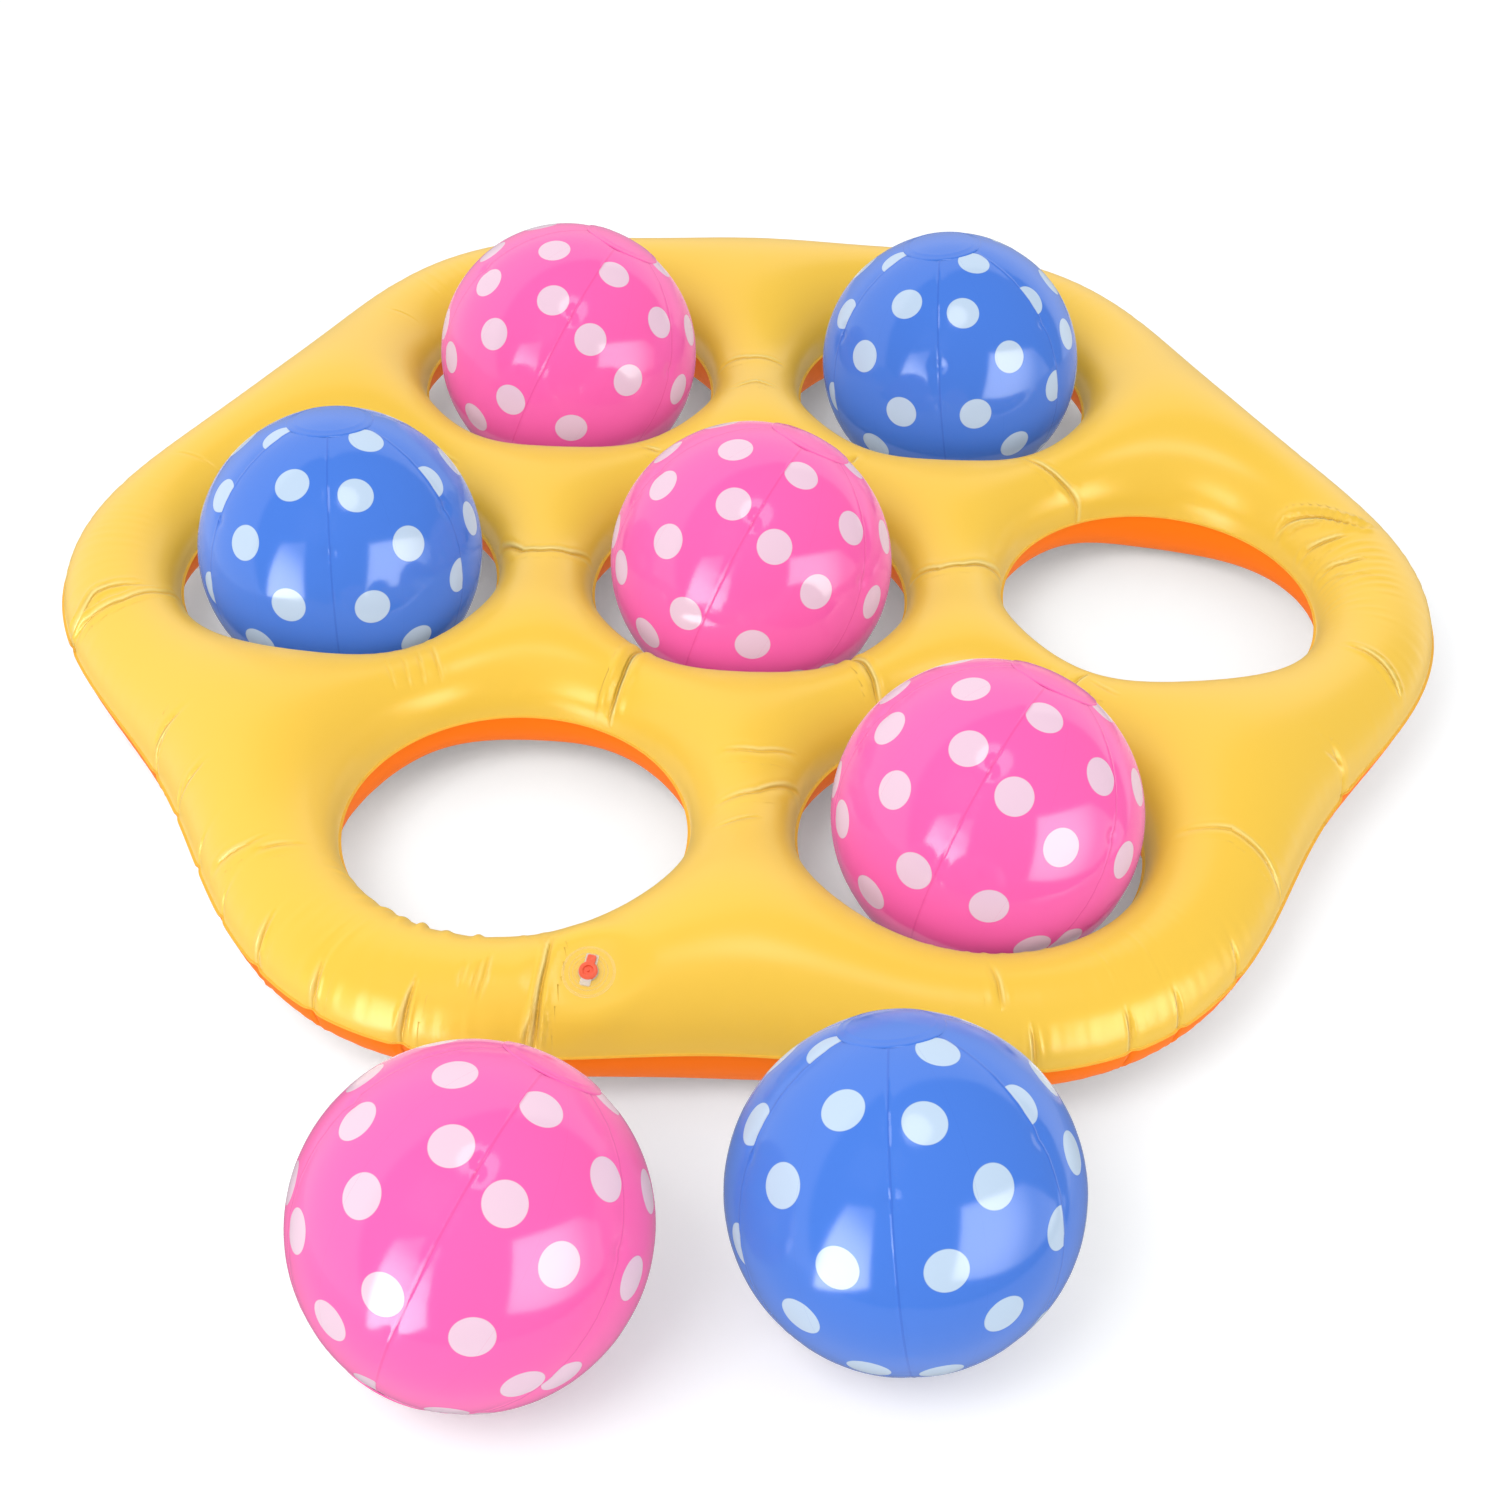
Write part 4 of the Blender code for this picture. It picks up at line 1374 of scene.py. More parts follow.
CREASES = (
    # Round the left lobe
    Crease(((-590, -110), (-572, -101), (-562, -83), (-520, -75)), 3.4, 3.2, end=0.3, lip=1.0),
    Crease(((-572, -112), (-533, -100), (-504, -76), (-493, -49)), 2.6, 3.0, end=0.3, lip=0.8),
    Crease(((-527, 116), (-482, 100)), 0.8, 2.4),
    Crease(((-361, 365), (-334, 361)), 0.8, 2.4),
    Crease(((-306, 155), (-272, 128)), 1.2, 2.6, start=0.7, end=0.7),
    # Between the left hole and the middle hole
    Crease(((-226, 32), (-203, 0), (-185, -5), (-158, 2), (-142, 17)), 3.0, 3.0, start=0.8, end=0.8),
    # Between the left hole and the front left hole
    Crease(((-268, -144), (-254, -179)), 1.5, 2.6, start=0.8, end=0.5),
    Crease(((-279, -152), (-268, -185)), 1.1, 2.4, start=0.8, end=0.5),
    Crease(((-290, -160), (-279, -192)), 0.9, 2.4, start=0.8, end=0.5),
    Crease(((-302, -172), (-290, -198)), 0.8, 2.2, start=0.8, end=0.5),
    # Between the two back holes
    Crease(((-33, 323), (-7, 314), (26, 315)), 2.0, 2.8, start=0.8, end=0.8),
    Crease(((-20, 254), (-1, 263), (18, 255)), 1.8, 2.8, start=0.8, end=0.8),
    # Round the middle hole
    Crease(((-104, 158), (-86, 151)), 2.0, 3.0, start=0.6, end=1.0),
    Crease(((95, 154), (89, 146)), 2.0, 3.0, start=0.6, end=1.0),
    Crease(((-88, -122), (-97, -142), (-105, -168), (-115, -192)), 4.6, 4.2, start=0.7, end=1.1),
    Crease(((84, -122), (96, -142), (105, -165), (110, -184)), 3.6, 3.8, start=0.8, end=0.9),
    Crease(((145, 5), (166, -7), (188, -5), (213, 10), (226, 22)), 3.2, 3.0, start=0.8, end=0.8),
    # Between the two front holes
    Crease(((-18, -267), (12, -268), (42, -256)), 1.8, 2.8, start=0.7, end=0.7),
    Crease(((-19, -321), (12, -309), (46, -278)), 2.0, 3.0, start=0.8, end=0.8),
    Crease(((-18, -354), (14, -341)), 1.4, 2.8, start=0.8, end=0.6),
    # Between the back right hole and the right hole
    Crease(((254, 160), (270, 146), (284, 136), (301, 128), (300, 122)), 3.0, 3.2, start=0.8, end=0.8),
    # Between the right hole and the front right hole
    Crease(((285, -148), (268, -170)), 1.8, 2.6, start=0.8, end=0.7),
    Crease(((252, -148), (262, -170)), 1.3, 2.4, start=0.8, end=0.6),
    Crease(((287, -162), (307, -187)), 1.2, 2.4, start=0.8, end=0.6),
    # Round the right lobe
    Crease(((552, 68), (534, 74), (517, 83), (499, 89), (488, 91), (477, 90)), 4.2, 3.4, 1.0, end=0.6, sharpness=0.5),
    Crease(((500, 57), (509, 55), (520, 54), (534, 54)), 2.6, 2.6, start=0.8, end=0.6, lip=1.0),
    Crease(((488, 80), (499, 79), (515, 73)), 1.3, 2.2, start=0.7, end=0.6, lip=0.6),
    Crease(((511, 24), (519, 23), (530, 20), (546, 21)), 2.2, 2.4, start=0.8, end=0.6, lip=1.0),
    Crease(((511, 13), (523, 6), (548, -3)), 1.0, 2.2, start=0.8, end=0.6),
    Crease(((512, -107), (526, -115), (539, -125), (547, -134), (553, -143)), 2.6, 2.6, start=0.6, end=0.9, lip=0.9),
    Crease(((492, -236), (484, -238), (468, -242)), 1.6, 2.8),
    Crease(((345, -343), (381, -348), (404, -362), (424, -377)), 2.0, 3.0, start=0.5, end=0.9),
    # Round the front left lobe
    Crease(((-458, -249), (-480, -256)), 1.4, 2.6, start=0.6, end=1.0),
    Crease(((-430, -306), (-450, -314)), 1.4, 2.6, start=0.6, end=1.0),
    Crease(((-406, -396), (-382, -393), (-361, -385)), 2.2, 3.0),
    Crease(((-370, -399), (-331, -389)), 1.6, 2.8),
    # The deep double fold beside the board's valve
    Crease(
        ((-147, -557), (-145, -539), (-143, -522), (-141, -511), (-138, -486)),
        2.5,
        2.4,
        start=1.3,
        end=0.9,
        lip=1.2,
        sharpness=0.6,
    ),
    Crease(
        ((-155, -557), (-152, -552), (-149, -546), (-146, -538)),
        1.6,
        1.8,
        start=1.3,
        end=0.4,
        lip=1.0,
        sharpness=0.6,
    ),
    Crease(((-183, -502), (-186, -524), (-190, -539)), 1.2, 2.2, start=0.7, end=0.7),
    Crease(((-189, -508), (-193, -527), (-195, -536)), 1.1, 2.2, start=0.7, end=0.7),
    Crease(((-200, -512), (-204, -529)), 0.9, 2.2, start=0.7, end=0.7),
    Crease(((186, -496), (190, -512), (193, -532)), 1.6, 3.0, start=0.7, end=1.0),
)

RIPPLES = (
    Ripples(HOLE_RIGHT, (138, 212), (-30, 36), 9.8, 0.65, 0.35),
    Ripples(HOLE_FRONT_LEFT, (132, 172), (205, 291), 18.0, 1.5, 0.4),
    Ripples(HOLE_LEFT, (132, 162), (255, 325), 12.0, 0.4, 0.5),
    Ripples(HOLE_FRONT_RIGHT, (132, 164), (240, 300), 13.0, 0.4, 0.5),
    Ripples(HOLE_LEFT, (160, 230), (150, 205), 12.0, 0.22),
    Ripples(HOLE_FRONT_LEFT, (165, 232), (205, 262), 13.0, 0.2),
    Ripples(HOLE_FRONT_RIGHT, (165, 232), (275, 330), 13.0, 0.2),
    Ripples(HOLE_BACK_RIGHT, (160, 225), (20, 70), 14.0, 0.2),
    Ripples(HOLE_BACK_LEFT, (160, 225), (110, 160), 14.0, 0.2),
)

DARTS = (
    Dart(208.7, 24, 1.8),
    Dart(214.5, 14, 0.9, 1.6),
    Dart(221.0, 15, 1.0, 1.6),
    Dart(226.8, 14, 0.9, 1.6),
    Dart(232.5, 32, 2.6, 2.1, 2.2),
    Dart(238.6, 27, 2.4, 2.0, 2.2),
    Dart(245.8, 40, 3.2, 2.3, 2.8),
    Dart(255.0, 24, 2.4, 2.0, 3.4),
    Dart(291.7, 22, 2.4, 2.0, 2.0),
    Dart(298.9, 20, 2.4, 2.0, 2.0),
    Dart(303.2, 18, 2.2, 1.9, 1.8),
    Dart(310.1, 16, 1.8, 1.8, 1.8),
    Dart(334.0, 22, 1.8, 2.0, 2.4),
    Dart(19.5, 16, 1.2, 2.0),
    Dart(48.0, 16, 1.2, 2.0),
    Dart(71.0, 16, 1.0, 2.0),
    Dart(112.0, 16, 1.0, 2.0),
    Dart(129.0, 16, 1.2, 2.0),
    Dart(171.0, 16, 1.2, 2.0),
    Dart(190.5, 20, 1.6, 2.2),
)


class BoardFilm:
    """One film of the board, built on its own grid."""

    WELD_FADE = 3.0
    SEAT_FLAT = 0.0215
    SEAT_REACH = 0.052
    SEAT_DEPTH = 0.03
    SEAT_GAP = 0.0002

    def __init__(self, sizes: BoardSizes, grid: GridSizes, side: Side) -> None:
        """Lays the film's grid and inflates it.

        Args:
            sizes: Sizes of the board.
            grid: How finely the film is divided.
            side: Which film it is.
        """
        self.sizes = sizes
        self.side = side
        self.plan = BoardPlan(sizes, grid)
        low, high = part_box("top_sheet")
        self.middle = ((low.x + high.x) / 2, (low.y + high.y) / 2)
        self.lift(high.z)

    def lift(self, top: float) -> None:
        """Solves the film's height over its welds.

        Args:
            top: Height of the board in the CAD.
        """
        plan = self.plan
        reach = np.zeros(plan.count)
        for strip in plan.strips:
            length = np.linalg.norm(plan.points[strip.rows[-1]] - plan.points[strip.rows[1]], axis=1)
            for row in strip.rows[1:]:
                reach[row] = np.maximum(reach[row], length)
        distance = np.where(np.isfinite(plan.distance), plan.distance, 0.0)
        guess = 2 * reach * distance - distance**2
        self.height = Inflation(plan.points, plan.quads, plan.welded).solve(guess)
        self.height *= (top - self.sizes.seam_height - self.sizes.film_gap / 2) / self.height.max()
        LOG.info("film stands %.1f mm over its weld", self.height.max() / MM)

    def folds(self) -> Array:
        """Outward shift of every point by folds, wrinkles and puckers.

        Returns:
            Array of metres.
        """
        plan = self.plan
        places = plan.points / MM
        shift = np.zeros(plan.count)
        for dart in DARTS:
            shift += dart.shift(places, plan.from_outline / MM)
        shift += Puckers().shift(plan)
        if self.side is Side.TOP:
            for fold in (*CREASES, *RIPPLES):
                shift += fold.shift(places)
        return shift * smooth(0.0, self.WELD_FADE, plan.distance / MM) * MM

    def build(self, name: str, material: Material, slot: Slot, node: str) -> None:
        """Makes the film's piece.

        Args:
            name: Name of the piece.
            material: Its material.
            slot: Its slot.
            node: CAD node that it stands for.
        """
        plan = self.plan
        points = np.column_stack((plan.points, self.height))
        points += vertex_normals(points, plan.quads) * self.folds()[:, None]
        points[:, 2] = np.maximum(points[:, 2], 0.0)
        pull = sum(dart.pull(plan.points / MM, plan.from_outline / MM) for dart in DARTS) * MM
        pull = np.where(np.isfinite(plan.from_outline), pull, 0.0)
        points[:, :2] -= pull[:, None] * plan.points / np.linalg.norm(plan.points, axis=1)[:, None]
        edges = np.concatenate([strip.rows[0] for strip in plan.strips])
        quads = np.vstack((plan.quads, *self.edge_quads()))
        points = self.place(np.vstack((points, points[edges])))
        points[plan.count :, 2] = self.sizes.seam_height
        if self.side is Side.TOP:
            points = self.seat_valve(points)
        else:
            quads = quads[:, ::-1]
        piece = make_mesh(name, points, quads)
        numbers = np.concatenate((np.arange(plan.count), edges))
        distance = np.where(plan.welded, 0.0, plan.distance)
        from_edge = np.where(plan.on_edge, 0.0, distance + self.sizes.weld_width)
        lines = [dart.crease(plan.outline) for dart in DARTS] + (list(CREASES) if self.side is Side.TOP else [])
        across, depth = crease_fields(lines, plan.points[numbers] / MM)
        add_values(piece, "edge_distance", from_edge[numbers])
        add_values(piece, "crease_across", across)
        add_values(piece, "crease_depth", depth)
        add_values(piece, "weld_along", plan.along[numbers])
        add_values(piece, "rest_place", points)
        dress(piece, material, slot, "board", node)

    @classmethod
    def seat_valve(cls, points: Array) -> Array:
        """Lays the film flat under the board's valve.

        Args:
            points: Points in the row frame.

        Returns:
            The points, moved along the seat's axis.
        """
        seat = moved(BOARD_VALVE_SEAT.inverted(), points)
        away, height = np.hypot(seat[:, 0], seat[:, 1]), seat[:, 2]
        near = np.abs(height) < cls.SEAT_DEPTH
        LOG.info("film over the valve's seat: %.1f mm", height[(away < cls.SEAT_FLAT) & near].max() / MM)
        held = smooth(cls.SEAT_REACH, cls.SEAT_FLAT, away) * near
        axis = np.array(BOARD_VALVE_SEAT.to_3x3().col[2])
        return points + (held * (-cls.SEAT_GAP - height))[:, None] * axis

    def edge_quads(self) -> list[Array]:
        """Quads that fold the film's cut edges down to the other film.

        Returns:
            One array of quads for each cut edge.
        """
        first = self.plan.count
        result = []
        for strip in self.plan.strips:
            row = strip.rows[0]
            below = np.arange(first, first + len(row))
            first += len(row)
            quads = np.column_stack((below, row, np.roll(row, -1), np.roll(below, -1)))
            result.append(quads[:, ::-1] if strip.inward else quads)
        return result

    def place(self, points: Array) -> Array:
        """Moves points from the film's own frame to the row frame.

        Args:
            points: Points with the board's centre as origin and heights over the weld.

        Returns:
            Points in the row frame.
        """
        placed = points + np.array((*self.middle, 0.0))
        sizes = self.sizes
        half = sizes.film_gap / 2
        if self.side is Side.TOP:
            placed[:, 2] = sizes.seam_height + half + points[:, 2]
        else:
            level = sizes.seam_height - half - points[:, 2]
            placed[:, 2] = -soft_min(-level, 0.0 * level, sizes.floor_rounding)
            placed[:, 2] -= sizes.floor_sink * sizes.floor_rounding * smooth(sizes.floor_fade, 0.0, level)
            placed[:, 2] = np.maximum(placed[:, 2], 0.0)
        return placed


# Balls


@dataclass(frozen=True)
class BallSizes:
    """Sizes of a ball, as in the CAD, and of its seams."""

    gores: int = 6
    radius: float = 0.123
    pole_opening: float = 0.031
    pole_disc: float = 0.0375
    disc_rise: float = 0.0007
    facet_bands: int = 7
    facet_sides: int = 18
    valve_azimuth: float = math.radians(210)
    seam_dip: float = 0.0008
    seam_spread: float = 0.0085
    seam_rise: float = 0.0004
    seam_half: float = 0.0012
    dot_radius: float = 0.0151
    rows: int = 84
    contact: float = 0.0008
    pucker_depth: float = 0.00022
    pucker_spread: float = 0.006
    pinch_angle: float = math.radians(64)
    pinch_offset: float = 0.002
    pinch_depth: float = 0.0016
    pinch_radius: float = 0.0045
    ring_height: float = 0.00018
    flange_radius: float = 0.0140


@dataclass(frozen=True)
class BallPlace:
    """Where a ball lies and how it is turned: tilt of its poles, heading of the tilt, and spin, in degrees."""

    name: str
    film: Slot
    centre: tuple
    turn: tuple


PINK_PRINT = (
    ((34, 11.5), (49, 50), (68, 13), (78, 37), (108, 23), (119, 52), (149, 48)),
    ((19, 35), (51, 25), (70, 56), (77, 12), (94, 34), (113, 6), (126, 36), (147, 12)),
    ((36, 44), (56, 8), (73, 38), (96, 14), (103, 50), (127, 24), (152, 44)),
    ((24, 14), (45, 34), (63, 54), (72, 18), (92, 40), (112, 16), (131, 46), (154, 14)),
    ((38.5, 32), (62, 45.5), (58, 10), (84, 24), (101, 50), (112, 18), (136, 36)),
    ((40, 23.5), (60.5, 48), (71, 11), (87, 32), (109, 52), (110, 8.5), (130, 33), (155, 57.5)),
)
BLUE_PRINT = (
    ((42, 39), (68, 21), (90, 42), (111, 24), (137, 41), (156, 8)),
    ((23, 42), (47, 15), (70, 34), (92, 15), (91, 58), (113, 35), (142, 15.5)),
    ((51, 1), (54, 37), (74, 17), (80, 48), (101, 28), (122, 50), (132, 3.5)),
    ((34, 2), (47, 40), (69, 12), (86, 40), (106, 14), (127, 36), (151, 20)),
    ((30, 22), (52, 50), (60, 16), (84, 34), (105, 54), (107, 16), (131, 34), (154, 50)),
    ((23, 58), (55, 54), (40, 18), (72, 28), (93, 60), (100, 20), (124, 44), (146, 20)),
)
BALLS = (
    BallPlace("pink_back_left", Slot.PINK, (-0.1825, 0.4613, 0.12268), (32, 37, -140)),
    BallPlace("pink_centre", Slot.PINK, (0.0, 0.1387, 0.12221), (33, 42, -150)),
    BallPlace("pink_front_right", Slot.PINK, (0.19119, -0.17741, 0.12297), (35, 47, -161)),
    BallPlace("blue_back_right", Slot.BLUE, (0.1867, 0.46764, 0.12376), (13, 126, 78)),
    BallPlace("blue_left", Slot.BLUE, (-0.35878, 0.13659, 0.12379), (14, 100, 116)),
    BallPlace("pink_loose", Slot.PINK, (-0.17301, -0.59346, 0.12087), (47, 54, -160)),
    BallPlace("blue_loose", Slot.BLUE, (0.11699, -0.55456, 0.12204), (29, 105, 101)),
)


class Ball:
    """A beach ball: skin, two pole discs and a valve."""

    SEAM_STEPS = (0.0, 0.7, 1.4, 2.3, 3.6, 5.5, 8.0, 11.5, 16.0, 22.0, 29.0, 37.0, 46.0, 55.0)
    DISC_SHARES = (0.12, 0.24, 0.36, 0.48, 0.6, 0.7, 0.78, 0.82, 0.845, 0.87, 0.895, 0.92, 0.945, 0.97, 1.0, 1.01)
    DISC_SIDES = 120
    VALVE_HOLE = 0.0085
    SEAT_GAP = 0.0002
    SEAT_ROUNDING = 0.0012

    def __init__(self, sizes: BallSizes, place: BallPlace, finishes: "Finishes") -> None:
        """Turns the ball to its place.

        Args:
            sizes: Sizes of the ball.
            place: Where it lies and how it is turned.
            finishes: Finishes of the game.
        """
        self.sizes = sizes
        self.place = place
        self.finishes = finishes
        self.gore = TAU / sizes.gores
        tilt, heading, spin = (math.radians(angle) for angle in place.turn)
        turn = Matrix.Rotation(heading, 4, "Z") @ Matrix.Rotation(tilt, 4, "Y") @ Matrix.Rotation(spin, 4, "Z")
        self.pose = Matrix.Translation(place.centre) @ turn
        self.valve = self.valve_frame()

    @staticmethod
    def sphere(polar_angle: Values, azimuth: Values, radius: Values) -> Array:
        """Points of a sphere in the ball's own frame."""
        ring = radius * np.sin(polar_angle)
        return np.stack((ring * np.cos(azimuth), ring * np.sin(azimuth), radius * np.cos(polar_angle)), axis=-1)

    def band_angle(self, band: int) -> float:
        """Angle from the pole at which a band of the CAD's skin starts."""
        first = math.asin(self.sizes.pole_opening / self.sizes.radius)
        return first + (math.pi - 2 * first) * band / self.sizes.facet_bands

    def valve_frame(self) -> Matrix:
        """Frame of the valve's seat, as the CAD's flat facet gives it.

        Returns:
            Matrix in the ball's own frame.
        """
        half = math.pi / self.sizes.facet_sides
        near, far = self.band_angle(1), self.band_angle(2)
        turns = [(near, -half), (far, -half), (far, half), (near, half)]
        corners = [
            Vector(self.sphere(angle, self.sizes.valve_azimuth + side, self.sizes.radius)) for angle, side in turns
        ]
        middle = sum(corners, Vector()) / 4
        normal = (corners[1] - corners[0]).cross(corners[3] - corners[0]).normalized()
        away = corners[1] + corners[2] - corners[0] - corners[3]
        along = (away - normal * away.dot(normal)).normalized()
        rotation = Matrix((along, normal.cross(along), normal)).transposed().to_4x4()
        return Matrix.Translation(middle) @ rotation

    def azimuths(self) -> Array:
        """Columns of the skin, close together beside the seams.

        Returns:
            Array of radians.
        """
        steps = np.array(self.SEAM_STEPS) * MM / self.sizes.radius
        one = np.concatenate((steps, (self.gore / 2,), self.gore - steps[:0:-1]))
        return np.concatenate([one + self.gore * number for number in range(self.sizes.gores)])

    def seam_distance(self, polar_angle: Values, azimuth: Values) -> Values:
        """Distance along the skin to the nearest seam, signed."""
        turn = (azimuth + self.gore / 2) % self.gore - self.gore / 2
        return turn * self.sizes.radius * np.sin(polar_angle)

    def relief(self, polar_angle: Values, azimuth: Values) -> Values:
        """Outward shift of the skin at its seams: the weld's ridge in a wide dip, fine puckers and one pinch each.

        Args:
            polar_angle: Angle from the pole in radians.
            azimuth: Direction round the pole in radians.

        Returns:
            Metres.
        """
        sizes = self.sizes
        away = np.abs(self.seam_distance(polar_angle, azimuth))
        dip = sizes.seam_dip * np.exp(-away / sizes.seam_spread)
        rise = sizes.seam_rise * bell(away / sizes.seam_half)
        number = np.floor(azimuth / self.gore + 0.5)
        wave = np.sin(polar_angle * 47 + number * 2.1) * np.sin(polar_angle * 13 + number)
        pucker = sizes.pucker_depth * wave * np.exp(-away / sizes.pucker_spread)
        pinch_at = sizes.pinch_angle + 0.09 * np.sin(number * 1.7)
        beside = ((polar_angle - pinch_at) * sizes.radius) ** 2 + (away - sizes.pinch_offset) ** 2
        return rise - dip + pucker - sizes.pinch_depth * np.exp(-beside / sizes.pinch_radius**2)

    def settle(self, local: Array) -> Array:
        """Moves the skin's points to the row frame, flat at the valve and on the floor.

        Args:
            local: Points in the ball's own frame.

        Returns:
            Points in the row frame.
        """
        seat = moved(self.valve.inverted(), local)
        outside = seat[:, 2] > -0.02
        seat[:, 2] = soft_min(seat[:, 2], self.SEAT_GAP, self.SEAT_ROUNDING)
        placed = moved(self.pose, np.where(outside[:, None], moved(self.valve, seat), local))
        drop = max(self.place.centre[2] - self.sizes.radius + self.sizes.contact, 0.0)
        placed[:, 2] -= drop * smooth(0.06, 0.0, placed[:, 2])
        placed[:, 2] = np.maximum(placed[:, 2], 0.0)
        return placed

    def print_centres(self, gore_numbers: Array, local: Array) -> Array:
        """The printed dot nearest to each face, among the dots of the face's own gore.

        Args:
            gore_numbers: Gore of every face.
            local: Middle of every face in the ball's own frame.

        Returns:
            Array of dot centres on the skin.
        """
        prints = PINK_PRINT if self.place.film is Slot.PINK else BLUE_PRINT
        result = np.zeros_like(local)
        for gore, spots in enumerate(prints):
            spots = np.radians(np.array(spots, float))
            centres = self.sphere(spots[:, 0], spots[:, 1] + gore * TAU / self.sizes.gores, self.sizes.radius)
            chosen = np.flatnonzero(gore_numbers == gore)
            distance = np.linalg.norm(local[chosen][:, None] - centres[None], axis=2)
            result[chosen] = centres[distance.argmin(axis=1)]
        return result

    def piece(self, end: str, material: Material, local: Array, faces: Sequence) -> Object:
        """Makes one piece of the ball in the row frame.

        Args:
            end: Last word of its name.
            material: Its material.
            local: Points in the ball's own frame.
            faces: Faces as point numbers.

        Returns:
            The piece.
        """
        name = self.place.name
        piece = make_mesh(f"{name}_film_{end}", self.settle(local), faces)
        add_values(piece, "rest_place", local)
        dress(piece, material, self.place.film, f"{name}_ball", f"{name}_{end}")
        return piece

    def build_skin(self) -> None:
        """The gored skin, open under both pole discs and behind the valve's flange."""
        first = self.band_angle(0)
        polars = np.linspace(first, math.pi - first, self.sizes.rows + 1)
        polar_grid, azimuth_grid = np.meshgrid(polars, self.azimuths(), indexing="ij")
        radius = self.sizes.radius + self.relief(polar_grid, azimuth_grid)
        local = self.sphere(polar_grid, azimuth_grid, radius).reshape(-1, 3)
        quads = ring_quads(np.arange(len(local)).reshape(polar_grid.shape))
        middles = local[quads].mean(axis=1)
        at_valve = moved(self.valve.inverted(), middles)
        kept = ~((np.hypot(at_valve[:, 0], at_valve[:, 1]) < self.VALVE_HOLE) & (at_valve[:, 2] > -0.01))
        quads, middles = quads[kept], middles[kept]
        gores = (np.arctan2(middles[:, 1], middles[:, 0]) % TAU // self.gore).astype(int)
        piece = self.piece("skin", self.finishes.films[self.place.film], local, quads)
        add_values(piece, "seam_distance", self.seam_distance(polar_grid, azimuth_grid).ravel())
        add_values(piece, "dot_centre", self.print_centres(gores, middles), "FACE")

    def build_disc(self, southern: bool) -> None:
        """The round patch over a pole, with the fine pressed rings of its weld near the edge.

        Args:
            southern: Whether it lies over the lower pole.
        """
        sizes = self.sizes
        edge, shares = sizes.pole_disc / sizes.radius, np.array(self.DISC_SHARES)
        sides = self.DISC_SIDES
        turns = TAU * np.arange(sides) / sides
        rings = np.where(shares > 0.8, sizes.ring_height * np.cos((shares - 0.82) / 0.05 * TAU), 0.0)
        rise = sizes.disc_rise * np.where(shares > 0.98, (1.01 - shares) / 0.03, 1.0) + rings * (shares < 0.98)
        polar_grid, azimuth_grid = np.meshgrid(edge * shares, turns, indexing="ij")
        radius = sizes.radius + np.broadcast_to(rise[:, None], polar_grid.shape)
        radius = radius - np.where(polar_grid > 0.85 * edge, 0.3, 0.0) * sizes.seam_dip
        local = self.sphere(polar_grid, azimuth_grid, radius).reshape(-1, 3)
        local = np.vstack((local, ((0.0, 0.0, sizes.radius + sizes.disc_rise),)))
        tip = len(local) - 1
        numbers = np.arange(tip).reshape(polar_grid.shape)
        faces = [tuple(face) for face in ring_quads(numbers)]
        faces += [(tip, numbers[0, side], numbers[0, (side + 1) % sides]) for side in range(sides)]
        if southern:
            local = local * np.array((1.0, 1.0, -1.0))
            faces = [face[::-1] for face in faces]
        end = "bottom_disc" if southern else "top_disc"
        piece = self.piece(end, self.finishes.plain_films[self.place.film], local, faces)
        add_values(piece, "seam_distance", np.full(len(local), 1.0))

    def build(self) -> None:
        """Makes all the ball's pieces."""
        self.build_skin()
        self.build_disc(southern=False)
        self.build_disc(southern=True)
        name, sizes = self.place.name, ValveSizes(self.sizes.flange_radius)
        Valve(sizes, f"{name}_valve", self.pose @ self.valve, f"{name}_ball", self.finishes).build()


# Valves


@dataclass(frozen=True)
class ValveSizes:
    """Sizes of a valve, as in the CAD."""

    flange_radius: float
    seat_gap: float = 0.0003
    flange_thickness: float = 0.0006
    bore_radius: float = 0.0053
    stem_radius: float = 0.0050
    stem_bore: float = 0.0033
    stem_depth: float = 0.012
    collar_radius: float = 0.0075
    collar_thickness: float = 0.0012
    cap_radius: float = 0.0070
    cap_thickness: float = 0.0018
    spigot_length: float = 0.0040
    strap_length: float = 0.0120
    strap_width: float = 0.0066
    strap_thickness: float = 0.0012
    lug_width: float = 0.0096
    pull_length: float = 0.0046
    pull_width: float = 0.0080
    ring_half: float = 0.0006
    ring_rise: float = 0.0009
    dish_depth: float = 0.0013
    sides: int = 64


